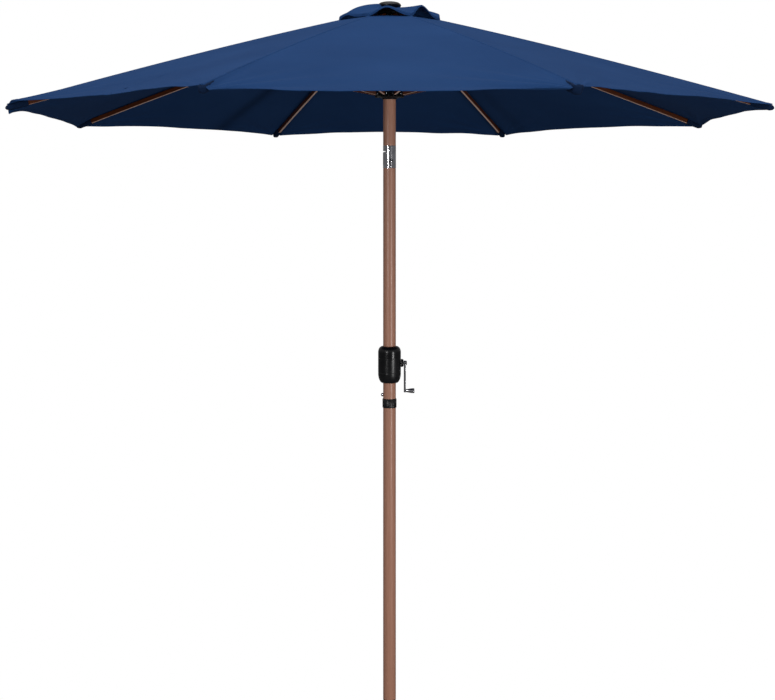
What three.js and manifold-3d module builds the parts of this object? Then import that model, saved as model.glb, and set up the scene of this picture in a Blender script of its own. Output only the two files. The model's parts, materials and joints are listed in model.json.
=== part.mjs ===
// A push-up market umbrella: a two-piece pole with a crank housing, a push-button tilt, a runner with
// eight struts, a top hub with eight ribs, an eight-panel canopy and a vented top.
// Millimetres, +Z up. The origin is the centre of the pole's foot. The crank is on +X, the front is -Y.

import * as THREE from 'three';
import { mergeVertices } from 'three/addons/utils/BufferGeometryUtils.js';
import Module from 'manifold-3d';

const wasm = await Module();
wasm.setup();

// ---- driving dimensions ---------------------------------------------------------------------

const GAP = 0.3; // between pieces that touch
const ROUND = 24; // sides of a full circle on the pole and housings
const SMALL_ROUND = 12; // sides of a full circle on small pieces

const TOTAL_HEIGHT = 2440;
const RIB_COUNT = 8;
const BAY = (2 * Math.PI) / RIB_COUNT; // the angle from one rib to the next
const FIRST_RIB = -Math.PI / 2 + BAY / 2; // one panel faces the front

const POLE_R = 22.25; // a 44.5 mm pole
const POLE_WALL = 1;
const FOOT_PLUG_FLANGE = 4;
const JOINT_Z = 1037; // where the two poles meet, inside the collar
const COLLAR_LOW = 1021.5;
const COLLAR_HIGH = 1053;
const COLLAR_R = 24.6;
const SPIGOT_LOW = 960;
const SPIGOT_HIGH = 1100;
const SPIGOT_WALL = 1.2;
const SNAP_Z = 1066;
const SNAP_R = 6;
const SNAP_REACH = 29.9; // how far the button's dome stands from the pole's axis

const HOUSING_LOW = 1108;
const HOUSING_HIGH = 1236;
const HOUSING_R = 39.8;
const HOUSING_WALL = 3;
const HOUSING_END_R = 26;
const HOUSING_SHOULDER = 27; // height of the rounded ends
const HOUSING_COLLAR = 9; // height of the rings that grip the pole
const CRANK_Z = 1177;
const SHAFT_R = 4;
const SHAFT_CLEARANCE = 0.05;
const DRUM_R = 13;
const DRUM_HALF = 15;
const SCREW_X = -30.2;
const SCREW_OFFSET = 30;
const ARM_LENGTH = 97;
const ARM_X = 50;
const ARM_THICK = 7;
const KNOB_LENGTH = 30;

const TILT_LOW = 1858;
const TILT_SPLIT = 1918;
const TILT_HIGH = 1936;
const TILT_R = 22.6;
const TILT_WALL = 3.1;
const TILT_PIVOT_Z = 1865.5;
const TILT_BUTTON_Z = 1883;
const TILT_TURN = THREE.MathUtils.degToRad(12); // the button's turn from the front towards +X
const CLEAR = 60; // a reach beyond the sides of the pole and its fittings
const TONGUE_HALF = 12;
const TONGUE_THICK = 10;

const MAST_TOP = 2404;
const HUB_PIVOT_R = 34;
const HUB_PIVOT_Z = 2390;
const HUB_LOW = 2377;
const HUB_PLATE_LOW = 2397.5;
const HUB_PLATE_HIGH = 2402;
const HUB_R = 43;
const HUB_SLEEVE_R = 27.2;
const EAR = 3.4;
const PIN_R = 2;
const PIN_CLEARANCE = 0.05;
const KNOB_PIN_R = 2;
const AXLE_R = 2;

const TIP_R = 1290; // where a rib ends
const TIP_Z = 2036;
const RIB_SLOPE = Math.atan2(HUB_PIVOT_Z - TIP_Z, TIP_R - HUB_PIVOT_R);
const RIB_LENGTH = Math.hypot(HUB_PIVOT_Z - TIP_Z, TIP_R - HUB_PIVOT_R);
const RIB_BOW = 8; // how far the cloth's pull arches a rib
const RIB_WIDE = 10;
const RIB_TALL = 17;
const RIB_WALL = 0.8;
const BAR_END_R = 6; // the rounded ends of ribs and struts
const BRACKET_AT = 560; // along the rib from its pivot
const BRACKET_DROP = 16.5; // from the rib's middle down to the strut's pivot
const BRACKET_PLATE = 2.4;

const STRUT_WIDE = 8;
const STRUT_WALL = 1.2;
const RUNNER_PIVOT_R = 48;
const RUNNER_PIVOT_Z = 2118;
const RUNNER_LOW = 2098;
const RUNNER_HIGH = 2142;
const RUNNER_BORE = 24.5;
const RUNNER_COLLAR_R = 28.5;
const RUNNER_R = 52;

const CLOTH = 1;
const CANOPY_R = 1300; // at a rib
const VENT_HOLE_R = 160; // the canopy's top opening, at a rib
const HEM_ARC = 40; // how far a panel's hem curves in
const PANEL_SAG = 6; // how far a panel hangs below its two ribs
const VENT_R = 186;
const VENT_TOP_Z = 2412;
const VENT_ARCH = 25; // how far the vent cap's hem lifts between ribs
const FINIAL_R = 41;
const FINIAL_LOW = 2419;

// ---- materials ------------------------------------------------------------------------------

const finish = (color, roughness, metalness) => () =>
  new THREE.MeshStandardMaterial({ color, roughness, metalness });
const woodTone = finish(0x95705f, 0.45, 0.1);
const blackPlastic = finish(0x17181b, 0.45, 0);
const greyPlastic = finish(0x3a3b3f, 0.5, 0);
const plated = finish(0x9a9ca2, 0.22, 0.95);
const zinc = finish(0x85868c, 0.4, 0.85);
const springSteel = finish(0x70737a, 0.35, 0.9);
const navyCloth = finish(0x24467a, 0.85, 0);

// ---- solids ---------------------------------------------------------------------------------

/** Turns a closed three.js geometry into a manifold solid. */
function solid(geometry) {
  const bare = geometry.clone();
  bare.deleteAttribute('normal');
  bare.deleteAttribute('uv');
  const merged = mergeVertices(bare, 1e-4);
  return new wasm.Manifold(new wasm.Mesh({
    numProp: 3,
    vertProperties: new Float32Array(merged.attributes.position.array),
    triVerts: new Uint32Array(merged.index.array),
  }));
}

/** Turns a manifold solid back into a three.js geometry. */
function shell(body) {
  const mesh = body.getMesh();
  const geometry = new THREE.BufferGeometry();
  geometry.setAttribute('position', new THREE.BufferAttribute(mesh.vertProperties, 3));
  geometry.setIndex(new THREE.BufferAttribute(mesh.triVerts, 1));
  geometry.computeVertexNormals();
  return geometry;
}

/** A box between two corners. */
function block([x0, y0, z0], [x1, y1, z1]) {
  const geometry = new THREE.BoxGeometry(x1 - x0, y1 - y0, z1 - z0);
  geometry.translate((x0 + x1) / 2, (y0 + y1) / 2, (z0 + z1) / 2);
  return solid(geometry);
}

/** A profile of [radius, height] points turned about Z. */
function turned(profile, sides = ROUND) {
  const points = profile.map(([r, z]) => new THREE.Vector2(r, z));
  return new THREE.LatheGeometry(points, sides).rotateX(Math.PI / 2);
}

/** A solid round bar along Z. */
function rod(radius, low, high, sides = SMALL_ROUND) {
  return solid(turned([[0, low], [radius, low], [radius, high], [0, high]], sides));
}

/** A round tube along Z. */
function tube(inner, outer, low, high, sides = ROUND) {
  return solid(turned([[inner, low], [outer, low], [outer, high], [inner, high], [inner, low]], sides));
}

/** Turns a solid made along Z so that it lies along X, keeping its Z as X. */
const alongX = (body) => body.rotate([0, 90, 0]);

/** Turns a solid made along Z so that it lies along Y, keeping its Z as Y. */
const alongY = (body) => body.rotate([-90, 0, 0]);

/** Points of an arc from one angle to another, about (cx, cy), with radii rx and ry. */
function arc(cx, cy, rx, ry, from, to, steps) {
  return Array.from({ length: steps + 1 }, (_, i) => {
    const a = from + ((to - from) * i) / steps;
    return [cx + rx * Math.cos(a), cy + ry * Math.sin(a)];
  });
}

/** The corner radius of a hole whose flats stand at a radius, so that a round pin turns in it. */
const toFlats = (radius, sides = SMALL_ROUND) => radius / Math.cos(Math.PI / sides);

/** An outline in the XZ plane, pulled to a width along Y that is centred on y = 0. */
function slab(outline, width, hole) {
  const shape = new THREE.Shape(outline.map(([x, z]) => new THREE.Vector2(x, z)));
  if (hole) shape.holes.push(new THREE.Path().absarc(hole.x, hole.z, toFlats(hole.r), 0, 2 * Math.PI));
  const curveSegments = SMALL_ROUND / 2;
  const geometry = new THREE.ExtrudeGeometry(shape, { depth: width, bevelEnabled: false, curveSegments });
  geometry.translate(0, 0, -width / 2);
  geometry.rotateX(Math.PI / 2);
  return solid(geometry);
}

// ---- the scene ------------------------------------------------------------------------------

const umbrella = new THREE.Group();

const top = new THREE.Group(); // all that stands on the tilt pin
umbrella.add(top);
const ribAngles = Array.from({ length: RIB_COUNT }, (_, i) => FIRST_RIB + i * BAY);

/** Adds one named piece to a group. */
function piece(name, shape, material, group = umbrella) {
  const geometry = shape.isBufferGeometry ? shape : shell(shape);
  const mesh = new THREE.Mesh(geometry, material());
  mesh.name = name;
  group.add(mesh);
  return mesh;
}

/** A group in the top, turned about Z and set at a radius and height. */
function spoke(angle, radius = 0, height = 0) {
  const turn = new THREE.Group();
  turn.rotation.z = angle;
  const place = new THREE.Group();
  place.position.set(radius, 0, height);
  turn.add(place);
  top.add(turn);
  return place;
}

// ---- pole -----------------------------------------------------------------------------------

/** A length of pole tube, with cross holes cut by the given solids. */
function poleTube(low, high, cuts = []) {
  return cuts.reduce((body, cut) => body.subtract(cut), tube(POLE_R - POLE_WALL, POLE_R, low, high));
}

function addPole() {
  const bore = POLE_R - POLE_WALL;
  const footPlug = rod(POLE_R, 0, FOOT_PLUG_FLANGE, ROUND)
    .add(rod(bore - GAP, FOOT_PLUG_FLANGE, 34, ROUND));
  piece('pole_foot_plug', footPlug, blackPlastic);
  piece('lower_pole', poleTube(FOOT_PLUG_FLANGE + GAP, JOINT_Z - GAP / 2), woodTone);

  const snapHole = alongX(rod(SNAP_R + 0.35, -40, 0)).translate([0, 0, SNAP_Z]);
  const shaftHole = alongX(rod(SHAFT_R + 0.4, 0, 40)).translate([0, 0, CRANK_Z]);
  const upper = poleTube(JOINT_Z + GAP / 2, TILT_LOW - GAP, [snapHole, shaftHole]);
  piece('upper_pole', upper, woodTone);

  const spigotR = bore - GAP;
  const spigot = tube(spigotR - SPIGOT_WALL, spigotR, SPIGOT_LOW, SPIGOT_HIGH).subtract(snapHole);
  piece('joint_spigot', spigot, zinc);

  const round = 2;
  const collar = turned([
    [POLE_R + GAP, COLLAR_LOW],
    [COLLAR_R - round, COLLAR_LOW],
    [COLLAR_R, COLLAR_LOW + round],
    [COLLAR_R, COLLAR_HIGH - round],
    [COLLAR_R - round, COLLAR_HIGH],
    [POLE_R + GAP, COLLAR_HIGH],
    [POLE_R + GAP, COLLAR_LOW],
  ]);
  piece('joint_collar', collar, blackPlastic);
}

function addSnapButton() {
  const flange = 7.4;
  const straight = SNAP_REACH - SNAP_R * 0.75;
  const profile = [
    [0, -15.6],
    [flange, -15.6],
    [flange, -17.2],
    [SNAP_R, -17.2],
    ...arc(0, -straight, SNAP_R, SNAP_R * 0.75, 0, -Math.PI / 2, 3),
  ];
  const button = solid(turned(profile.reverse(), SMALL_ROUND));
  piece('snap_button', alongX(button).translate([0, 0, SNAP_Z]), plated);

  // A leaf bent into a U: one leg carries the button, the other bears on the spigot's far wall.
  const leaf = 1.2;
  const outer = [
    [-15, -8],
    [-15, 24],
    ...arc(1, 24, 16, 14, Math.PI, 0, 8),
    [17, -4],
  ];
  const inner = [
    [17 - leaf, -4],
    ...arc(1, 24, 16 - leaf, 14 - leaf, 0, Math.PI, 8),
    [-15 + leaf, -8],
  ];
  const spring = slab([...outer, ...inner], 9);
  piece('snap_spring', spring.translate([0, 0, SNAP_Z]), springSteel);
}

// ---- crank ----------------------------------------------------------------------------------

/** The housing as one turned shell, before it is split into its front and back halves. */
function housingShell() {
  const rise = HOUSING_SHOULDER;
  const endR = HOUSING_END_R;
  const outerArc = (z, from, to) => arc(endR, z, HOUSING_R - endR, rise, from, to, 4);
  const innerR = HOUSING_R - HOUSING_WALL;
  const grip = POLE_R + GAP;
  const innerArc = (z, from, to) =>
    arc(endR - 1, z, innerR - endR + 1, rise - HOUSING_COLLAR, from, to, 2);
  const low = HOUSING_LOW + rise;
  const high = HOUSING_HIGH - rise;
  return solid(turned([
    [grip, HOUSING_LOW],
    ...outerArc(low, -Math.PI / 2, 0),
    ...outerArc(high, 0, Math.PI / 2),
    [grip, HOUSING_HIGH],
    [grip, HOUSING_HIGH - HOUSING_COLLAR],
    ...innerArc(high, Math.PI / 2, 0),
    ...innerArc(low, 0, -Math.PI / 2),
    [grip, HOUSING_LOW + HOUSING_COLLAR],
    [grip, HOUSING_LOW],
  ]));
}

const screwHeights = { lower: CRANK_Z - 5 - SCREW_OFFSET, upper: CRANK_Z - 5 + SCREW_OFFSET };

function addHousing() {
  const bushHole = alongX(rod(9.3, 30, 45)).translate([0, 0, CRANK_Z]);
  const whole = housingShell().subtract(bushHole);
  const half = (y0, y1) => block([-CLEAR, y0, HOUSING_LOW - 1], [CLEAR, y1, HOUSING_HIGH + 1]);
  let front = whole.intersect(half(-CLEAR, -GAP / 2));
  let back = whole.intersect(half(GAP / 2, CLEAR));
  const boss = 4;
  const thread = 1.9;
  for (const z of Object.values(screwHeights)) {
    const post = (y0, y1) => alongY(rod(boss, y0, y1, 8)).translate([SCREW_X, 0, z]);
    const hole = (r, y0, y1) => alongY(rod(r, y0, y1, 8)).translate([SCREW_X, 0, z]);
    front = front.add(post(-22, -GAP / 2)).subtract(hole(thread, -18, 0));
    back = back.add(post(GAP / 2, 22)).subtract(hole(thread, 0, 40)).subtract(hole(3.5, 18, 40));
  }
  piece('crank_housing_front', front, blackPlastic);
  piece('crank_housing_back', back, blackPlastic);
}

function addHousingScrews() {
  for (const [name, z] of Object.entries(screwHeights)) {
    const screw = alongY(rod(1.6, -16, 18.6, 8).add(rod(3.1, 18.3, 20.6, 8)));
    piece(`housing_screw_${name}`, screw.translate([SCREW_X, 0, z]), zinc);
  }
}

function addCrank() {
  const crank = new THREE.Group();
  crank.position.z = CRANK_Z;
  umbrella.add(crank);

  const drum = rod(DRUM_R - 4, -DRUM_HALF, DRUM_HALF, ROUND)
    .add(rod(DRUM_R, -DRUM_HALF, -DRUM_HALF + 2, ROUND))
    .add(rod(DRUM_R, DRUM_HALF - 2, DRUM_HALF, ROUND))
    .subtract(rod(SHAFT_R + GAP, -DRUM_HALF - 1, DRUM_HALF + 1));
  piece('winding_drum', alongX(drum), greyPlastic, crank);
  piece('crank_shaft', alongX(rod(SHAFT_R, -18, ARM_X + ARM_THICK + 1.5)), zinc, crank);

  const bush = tube(toFlats(SHAFT_R + SHAFT_CLEARANCE), 9, 33, 38.2, SMALL_ROUND);
  piece('crank_bush', alongX(bush), greyPlastic, crank);

  const bossInner = SHAFT_R + GAP;
  const boss = turned([
    [bossInner, HOUSING_R + 0.4],
    [14, HOUSING_R + 0.4],
    ...arc(8, HOUSING_R + 4, 6, ARM_X - GAP - HOUSING_R - 4, 0, Math.PI / 2, 3),
    [bossInner, ARM_X - GAP],
    [bossInner, HOUSING_R + 0.4],
  ], 16);
  piece('crank_boss', alongX(solid(boss)), blackPlastic, crank);

  addCrankArm(crank, bossInner);
}

function addCrankArm(crank, bore) {
  const top = 8.5;
  const end = 6;
  const outline = [
    ...arc(0, 0, top, top, 0, Math.PI, 6),
    ...arc(0, -ARM_LENGTH, end, end, Math.PI, 2 * Math.PI, 6),
  ];
  const bar = slab(outline, ARM_THICK, { x: 0, z: 0, r: bore })
    .rotate([0, 0, 90])
    .translate([ARM_X + ARM_THICK / 2, 0, 0]);
  const pinHole = alongX(rod(2.3, ARM_X - 1, ARM_X + ARM_THICK + 1, 12)).translate([0, 0, -ARM_LENGTH]);
  piece('crank_arm', bar.subtract(pinHole), plated, crank);

  const capStart = ARM_X + ARM_THICK + GAP;
  const cap = turned([
    [bore, capStart],
    [7.6, capStart],
    ...arc(5, capStart + 1, 2.6, 2.4, 0, Math.PI / 2, 2),
    [0, capStart + 3.4],
    [0, capStart + 2],
    [bore, capStart + 2],
    [bore, capStart],
  ], SMALL_ROUND);
  piece('crank_cap', alongX(solid(cap)), blackPlastic, crank);

  const knobLow = ARM_X + ARM_THICK + GAP;
  const knobHigh = knobLow + KNOB_LENGTH;
  const pinEnd = knobHigh - 4;
  const pin = rod(KNOB_PIN_R, ARM_X + 0.5, pinEnd).add(rod(3.4, pinEnd, knobHigh - 2.6));
  piece('knob_pin', alongX(pin).translate([0, 0, -ARM_LENGTH]), zinc, crank);

  const knobBore = toFlats(KNOB_PIN_R + PIN_CLEARANCE);
  const knob = turned([
    [knobBore, knobLow],
    [5.4, knobLow],
    [6, knobLow + 3],
    ...arc(6, knobHigh - 3, 2.6, 3, 0, Math.PI / 2, 3),
    [4, knobHigh],
    [4, knobHigh - 4.3],
    [knobBore, knobHigh - 4.3],
    [knobBore, knobLow],
  ], SMALL_ROUND);
  piece('crank_knob', alongX(solid(knob)).translate([0, 0, -ARM_LENGTH]), plated, crank);
}

// ---- tilt unit ------------------------------------------------------------------------------

/** The tilt unit's own frame: X is the way the button faces, and the top leans to -Y. */
function tiltFrame(parent) {
  const frame = new THREE.Group();
  frame.position.z = TILT_PIVOT_Z;
  frame.rotation.z = -Math.PI / 2 + TILT_TURN;
  parent.add(frame);
  return frame;
}

/** What the upper sleeve's flat end sweeps as it leans: all that lies outside an arc about the pin. */
function sweptEnd(split) {
  const reach = split - GAP;
  const arcSides = 48;
  const cylinder = alongX(rod(reach, -CLEAR - 1, CLEAR + 1, arcSides));
  return block([-CLEAR, -CLEAR, 0], [CLEAR, 0, CLEAR]).subtract(cylinder);
}

function addTilt() {
  const frame = tiltFrame(umbrella);
  const low = TILT_LOW - TILT_PIVOT_Z;
  const split = TILT_SPLIT - TILT_PIVOT_Z;
  const high = TILT_HIGH - TILT_PIVOT_Z;
  const buttonZ = TILT_BUTTON_Z - TILT_PIVOT_Z;
  const inner = TILT_R - TILT_WALL;
  const slot = TONGUE_THICK / 2 + 0.6;
  const buttonR = 5;
  const spigot = rod(POLE_R - POLE_WALL - GAP, low - 40, low, ROUND);
  const lower = tube(inner, TILT_R, low, split - GAP)
    .add(spigot.subtract(rod(inner - 2, low - 41, low + 1, ROUND)))
    .add(tube(inner - 2, inner + 1, low - 1, low + 2))
    .subtract(sweptEnd(split))
    .subtract(block([-slot, -40, 4], [slot, 0, split + 1]))
    .subtract(alongX(rod(buttonR + 0.3, 0, 40)).translate([0, 0, buttonZ]))
    .subtract(alongX(rod(3.1, -40, 40)));
  piece('tilt_lower_sleeve', lower, plated, frame);

  const tongueOutline = [
    [TONGUE_HALF, split + 2],
    [-TONGUE_HALF, split + 2],
    ...arc(0, 0, TONGUE_HALF, TONGUE_HALF, Math.PI, 2 * Math.PI, 8),
  ];
  const tongue = slab(tongueOutline, TONGUE_THICK, { x: 0, z: 0, r: 2.95 }).rotate([0, 0, 90]);
  const upper = rod(TILT_R, split, high, ROUND)
    .add(tongue)
    .add(rod(POLE_R - POLE_WALL - GAP, high - 1, high + 36, ROUND))
    .subtract(rod(inner - 4, split + 6, high + 40, ROUND));
  piece('tilt_upper_sleeve', upper, plated, tiltFrame(top));

  const pin = rod(2.9, -TILT_R - 0.2, TILT_R + 0.2)
    .add(rod(3.8, TILT_R + 0.2, TILT_R + 1.2))
    .add(rod(3.8, -TILT_R - 1.2, -TILT_R - 0.2));
  piece('tilt_pin', alongX(pin), zinc, frame);

  const button = turned([
    [0, 11],
    [7, 11],
    [7, 13],
    [buttonR, 13],
    [buttonR, 23],
    [buttonR - 1, 24],
    [0, 24],
  ], SMALL_ROUND);
  piece('tilt_button', alongX(solid(button)).translate([0, 0, buttonZ]), plated, frame);

  const spring = tube(3, 4, TONGUE_THICK / 2 + GAP, 11 - GAP, SMALL_ROUND);
  piece('tilt_button_spring', alongX(spring).translate([0, 0, buttonZ]), springSteel, frame);
}

// ---- top mast, pulley and hub ---------------------------------------------------------------

const PULLEY_X = 14;
const PULLEY_Z = 2350;
const PULLEY_R = 10.5;

function addMast() {
  const slot = block([POLE_R - 12, -4.6, PULLEY_Z - 13], [40, 4.6, PULLEY_Z + 13]);
  const axleHole = alongY(rod(2.3, -40, 40, 12)).translate([PULLEY_X, 0, PULLEY_Z]);
  piece('top_mast', poleTube(TILT_HIGH + GAP, MAST_TOP, [slot, axleHole]), woodTone, top);

  const pulleyBore = toFlats(AXLE_R + PIN_CLEARANCE, 16);
  const pulley = turned([
    [pulleyBore, -4],
    [PULLEY_R, -4],
    [PULLEY_R - 3, -1],
    [PULLEY_R - 3, 1],
    [PULLEY_R, 4],
    [pulleyBore, 4],
    [pulleyBore, -4],
  ], 16);
  piece('cord_pulley', alongY(solid(pulley)).translate([PULLEY_X, 0, PULLEY_Z]), greyPlastic, top);
  const axle = alongY(rod(AXLE_R, -17.6, 17.6)).translate([PULLEY_X, 0, PULLEY_Z]);
  piece('pulley_axle', axle, zinc, top);

  const bore = POLE_R - POLE_WALL - GAP;
  const plug = rod(bore, MAST_TOP - 26, MAST_TOP, ROUND)
    .subtract(rod(3.3, MAST_TOP - 20, MAST_TOP + 1));
  piece('mast_top_plug', plug, blackPlastic, top);
}

/** Eight pairs of ears with pins, round a sleeve, for one hub. */
function earRing({ inner, outer, low, high, slot, pinR, pinZ, pins }) {
  let ring = null;
  for (const angle of ribAngles) {
    const wide = slot / 2 + EAR;
    let ears = block([inner, -wide, low], [outer, wide, high])
      .subtract(block([inner + 2, -slot / 2, low - 1], [outer + 1, slot / 2, high + 1]));
    if (pins) ears = ears.add(alongY(rod(PIN_R, -wide, wide, 8)).translate([pinR, 0, pinZ]));
    ears = ears.rotate([0, 0, THREE.MathUtils.radToDeg(angle)]);
    ring = ring ? ring.add(ears) : ears;
  }
  return ring;
}

function addHub() {
  const bore = POLE_R + GAP;
  const ears = earRing({
    inner: HUB_SLEEVE_R - 2.6,
    outer: HUB_R,
    low: HUB_LOW,
    high: HUB_PLATE_LOW + 1,
    slot: RIB_WIDE + 0.8,
    pinR: HUB_PIVOT_R,
    pinZ: HUB_PIVOT_Z,
    pins: true,
  });
  const hub = tube(bore, HUB_SLEEVE_R, HUB_LOW - 6, HUB_PLATE_HIGH)
    .add(ears)
    .add(tube(bore, HUB_R, HUB_PLATE_LOW, HUB_PLATE_HIGH));
  piece('top_hub', hub, blackPlastic, top);

  const cover = solid(turned([
    [4.3, MAST_TOP + GAP],
    [HUB_R - 6, MAST_TOP + GAP],
    [HUB_R - 2, MAST_TOP + 3],
    [HUB_R - 8, VENT_TOP_Z - 1.3],
    [4.3, VENT_TOP_Z - 1.3],
    [4.3, MAST_TOP + GAP],
  ]));
  piece('hub_cover', cover, blackPlastic, top);

  const finialDome = solid(turned([
    [0, FINIAL_LOW - 4],
    [9, FINIAL_LOW - 4],
    [9, FINIAL_LOW],
    [FINIAL_R - 2, FINIAL_LOW],
    ...arc(FINIAL_R - 11, FINIAL_LOW + 9, 11, 9, -Math.PI / 6, Math.PI / 2, 4),
    ...arc(0, TOTAL_HEIGHT - 4, FINIAL_R - 11, 4, Math.PI / 3, Math.PI / 2, 1),
  ]));
  const socket = rod(3.3, FINIAL_LOW - 5, FINIAL_LOW + 12);
  piece('finial', finialDome.subtract(socket), blackPlastic, top);
  piece('finial_stud', rod(3, MAST_TOP - 18, FINIAL_LOW + 10), zinc, top);
}

// ---- runner ---------------------------------------------------------------------------------

function addRunner() {
  const ears = earRing({
    inner: RUNNER_COLLAR_R - 3,
    outer: RUNNER_R,
    low: RUNNER_PIVOT_Z - 12,
    high: RUNNER_PIVOT_Z + 9,
    slot: STRUT_WIDE + 0.9,
  });
  const cone = solid(turned([
    [RUNNER_COLLAR_R - 3, RUNNER_LOW + 4],
    [RUNNER_COLLAR_R, RUNNER_LOW + 4],
    [RUNNER_PIVOT_R - 14, RUNNER_LOW + 8],
    [RUNNER_PIVOT_R - 14, RUNNER_HIGH - 14],
    [RUNNER_COLLAR_R - 3, RUNNER_HIGH - 12],
    [RUNNER_COLLAR_R - 3, RUNNER_LOW + 4],
  ]));
  const runner = tube(RUNNER_BORE, RUNNER_COLLAR_R - 2, RUNNER_LOW, RUNNER_HIGH).add(cone).add(ears);
  piece('runner', runner, blackPlastic, top);
}

// ---- ribs and struts ------------------------------------------------------------------------

const ribArch = (along) => {
  const share = along / RIB_LENGTH;
  return 4 * RIB_BOW * share * (1 - share);
};

/** The side outline of a rib, inset by a wall. */
function ribOutline(inset, from, to) {
  const steps = 6;
  const half = RIB_TALL / 2 - inset;
  const stations = Array.from({ length: steps + 1 }, (_, i) => from + ((to - from) * i) / steps);
  const under = stations.map((x) => [x, ribArch(x) - half]);
  const over = stations.map((x) => [x, ribArch(x) + half]).reverse();
  return [...under, ...over];
}

function ribSolid() {
  const taper = 30;
  const bar = ribOutline(0, taper, RIB_LENGTH);
  const end = arc(0, 0, BAR_END_R, BAR_END_R, Math.PI / 2, 1.5 * Math.PI, 4);
  const outer = slab([...end, ...bar], RIB_WIDE, { x: 0, z: 0, r: PIN_R + PIN_CLEARANCE });
  const hollow = slab(ribOutline(RIB_WALL, taper + 10, RIB_LENGTH + 1), RIB_WIDE - 2 * RIB_WALL);

  // The bracket: two cheek plates that straddle the rib and hold the strut's pin.
  const middle = ribArch(BRACKET_AT);
  const pivotZ = middle - BRACKET_DROP;
  const cheek = [
    ...arc(BRACKET_AT, pivotZ, BAR_END_R, BAR_END_R, Math.PI, 2 * Math.PI, 4),
    [BRACKET_AT + 14, middle + RIB_TALL / 2 - 2],
    [BRACKET_AT - 14, middle + RIB_TALL / 2 - 2],
  ];
  const wide = STRUT_WIDE + 0.8 + 2 * BRACKET_PLATE;
  const jaw = block([BRACKET_AT - 40, -STRUT_WIDE / 2 - 0.4, pivotZ - 20],
    [BRACKET_AT + 40, STRUT_WIDE / 2 + 0.4, middle - RIB_TALL / 2 + 0.4]);
  const pin = alongY(rod(PIN_R, -wide / 2 - 0.8, wide / 2 + 0.8, 8)).translate([BRACKET_AT, 0, pivotZ]);
  const bracket = slab(cheek, wide).subtract(jaw).add(pin);
  return outer.add(bracket).subtract(hollow);
}

/** Where the strut's upper pivot is: its radius and height. */
function bracketPivot() {
  const drop = BRACKET_DROP - ribArch(BRACKET_AT);
  return {
    r: HUB_PIVOT_R + BRACKET_AT * Math.cos(RIB_SLOPE) - drop * Math.sin(RIB_SLOPE),
    z: HUB_PIVOT_Z - BRACKET_AT * Math.sin(RIB_SLOPE) - drop * Math.cos(RIB_SLOPE),
  };
}

/** A strut along X from its lower pivot at the origin to its upper pivot. */
function strutSolid(length) {
  const outline = [
    ...arc(0, 0, BAR_END_R, BAR_END_R, Math.PI / 2, 1.5 * Math.PI, 4),
    ...arc(length, 0, BAR_END_R, BAR_END_R, -Math.PI / 2, Math.PI / 2, 4),
  ];
  const channel = block([14, -STRUT_WIDE / 2 + STRUT_WALL, -BAR_END_R + STRUT_WALL],
    [length - 14, STRUT_WIDE / 2 - STRUT_WALL, BAR_END_R + 1]);
  return slab(outline, STRUT_WIDE, { x: length, z: 0, r: PIN_R + PIN_CLEARANCE }).subtract(channel);
}

function addRibsAndStruts() {
  const rib = shell(ribSolid());
  const upper = bracketPivot();
  const length = Math.hypot(upper.r - RUNNER_PIVOT_R, upper.z - RUNNER_PIVOT_Z);
  const strut = shell(strutSolid(length));
  const rise = Math.atan2(upper.z - RUNNER_PIVOT_Z, upper.r - RUNNER_PIVOT_R);
  ribAngles.forEach((angle, i) => {
    piece(`rib_${i + 1}`, rib, woodTone, spoke(angle, HUB_PIVOT_R, HUB_PIVOT_Z)).rotation.y = RIB_SLOPE;
    const place = spoke(angle, RUNNER_PIVOT_R, RUNNER_PIVOT_Z);
    piece(`strut_${i + 1}`, strut, woodTone, place).rotation.y = -rise;
  });
}

// ---- cloth ----------------------------------------------------------------------------------

/** The height of the cloth's underside on a rib, at a radius. */
function ridgeHeight(radius) {
  const along = (radius - HUB_PIVOT_R) / Math.cos(RIB_SLOPE);
  const line = HUB_PIVOT_Z - (radius - HUB_PIVOT_R) * Math.tan(RIB_SLOPE);
  const clear = 1.5; // the cloth drops away on both sides of the flat-topped rib
  return line + ribArch(Math.min(along, RIB_LENGTH)) + (RIB_TALL / 2 + clear) / Math.cos(RIB_SLOPE);
}

/**
 * A closed sheet over a grid. at(row, column) gives a point of its underside; the top is one
 * thickness above it. A ring's last column meets its first.
 */
function sheet(rows, columns, at, ring = false) {
  const points = [];
  for (const lift of [0, CLOTH]) {
    for (let r = 0; r < rows; r += 1) {
      for (let c = 0; c < columns; c += 1) {
        const p = at(r, c);
        points.push(p.x, p.y, p.z + lift);
      }
    }
  }
  const under = (r, c) => r * columns + (c % columns);
  const over = (r, c) => rows * columns + under(r, c);
  const faces = [];
  const quad = (a, b, c, d) => faces.push(a, b, c, a, c, d);
  const spans = ring ? columns : columns - 1;
  for (let r = 0; r < rows - 1; r += 1) {
    for (let c = 0; c < spans; c += 1) {
      quad(under(r, c), under(r, c + 1), under(r + 1, c + 1), under(r + 1, c));
      quad(over(r, c), over(r + 1, c), over(r + 1, c + 1), over(r, c + 1));
    }
  }
  for (let c = 0; c < spans; c += 1) {
    quad(under(0, c), over(0, c), over(0, c + 1), under(0, c + 1));
    quad(under(rows - 1, c), under(rows - 1, c + 1), over(rows - 1, c + 1), over(rows - 1, c));
  }
  if (!ring) {
    for (let r = 0; r < rows - 1; r += 1) {
      quad(under(r, 0), under(r + 1, 0), over(r + 1, 0), over(r, 0));
      quad(under(r, spans), over(r, spans), over(r + 1, spans), under(r + 1, spans));
    }
  }
  const geometry = new THREE.BufferGeometry();
  geometry.setAttribute('position', new THREE.Float32BufferAttribute(points, 3));
  geometry.setIndex(faces);
  geometry.computeVertexNormals();
  return geometry;
}

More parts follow.
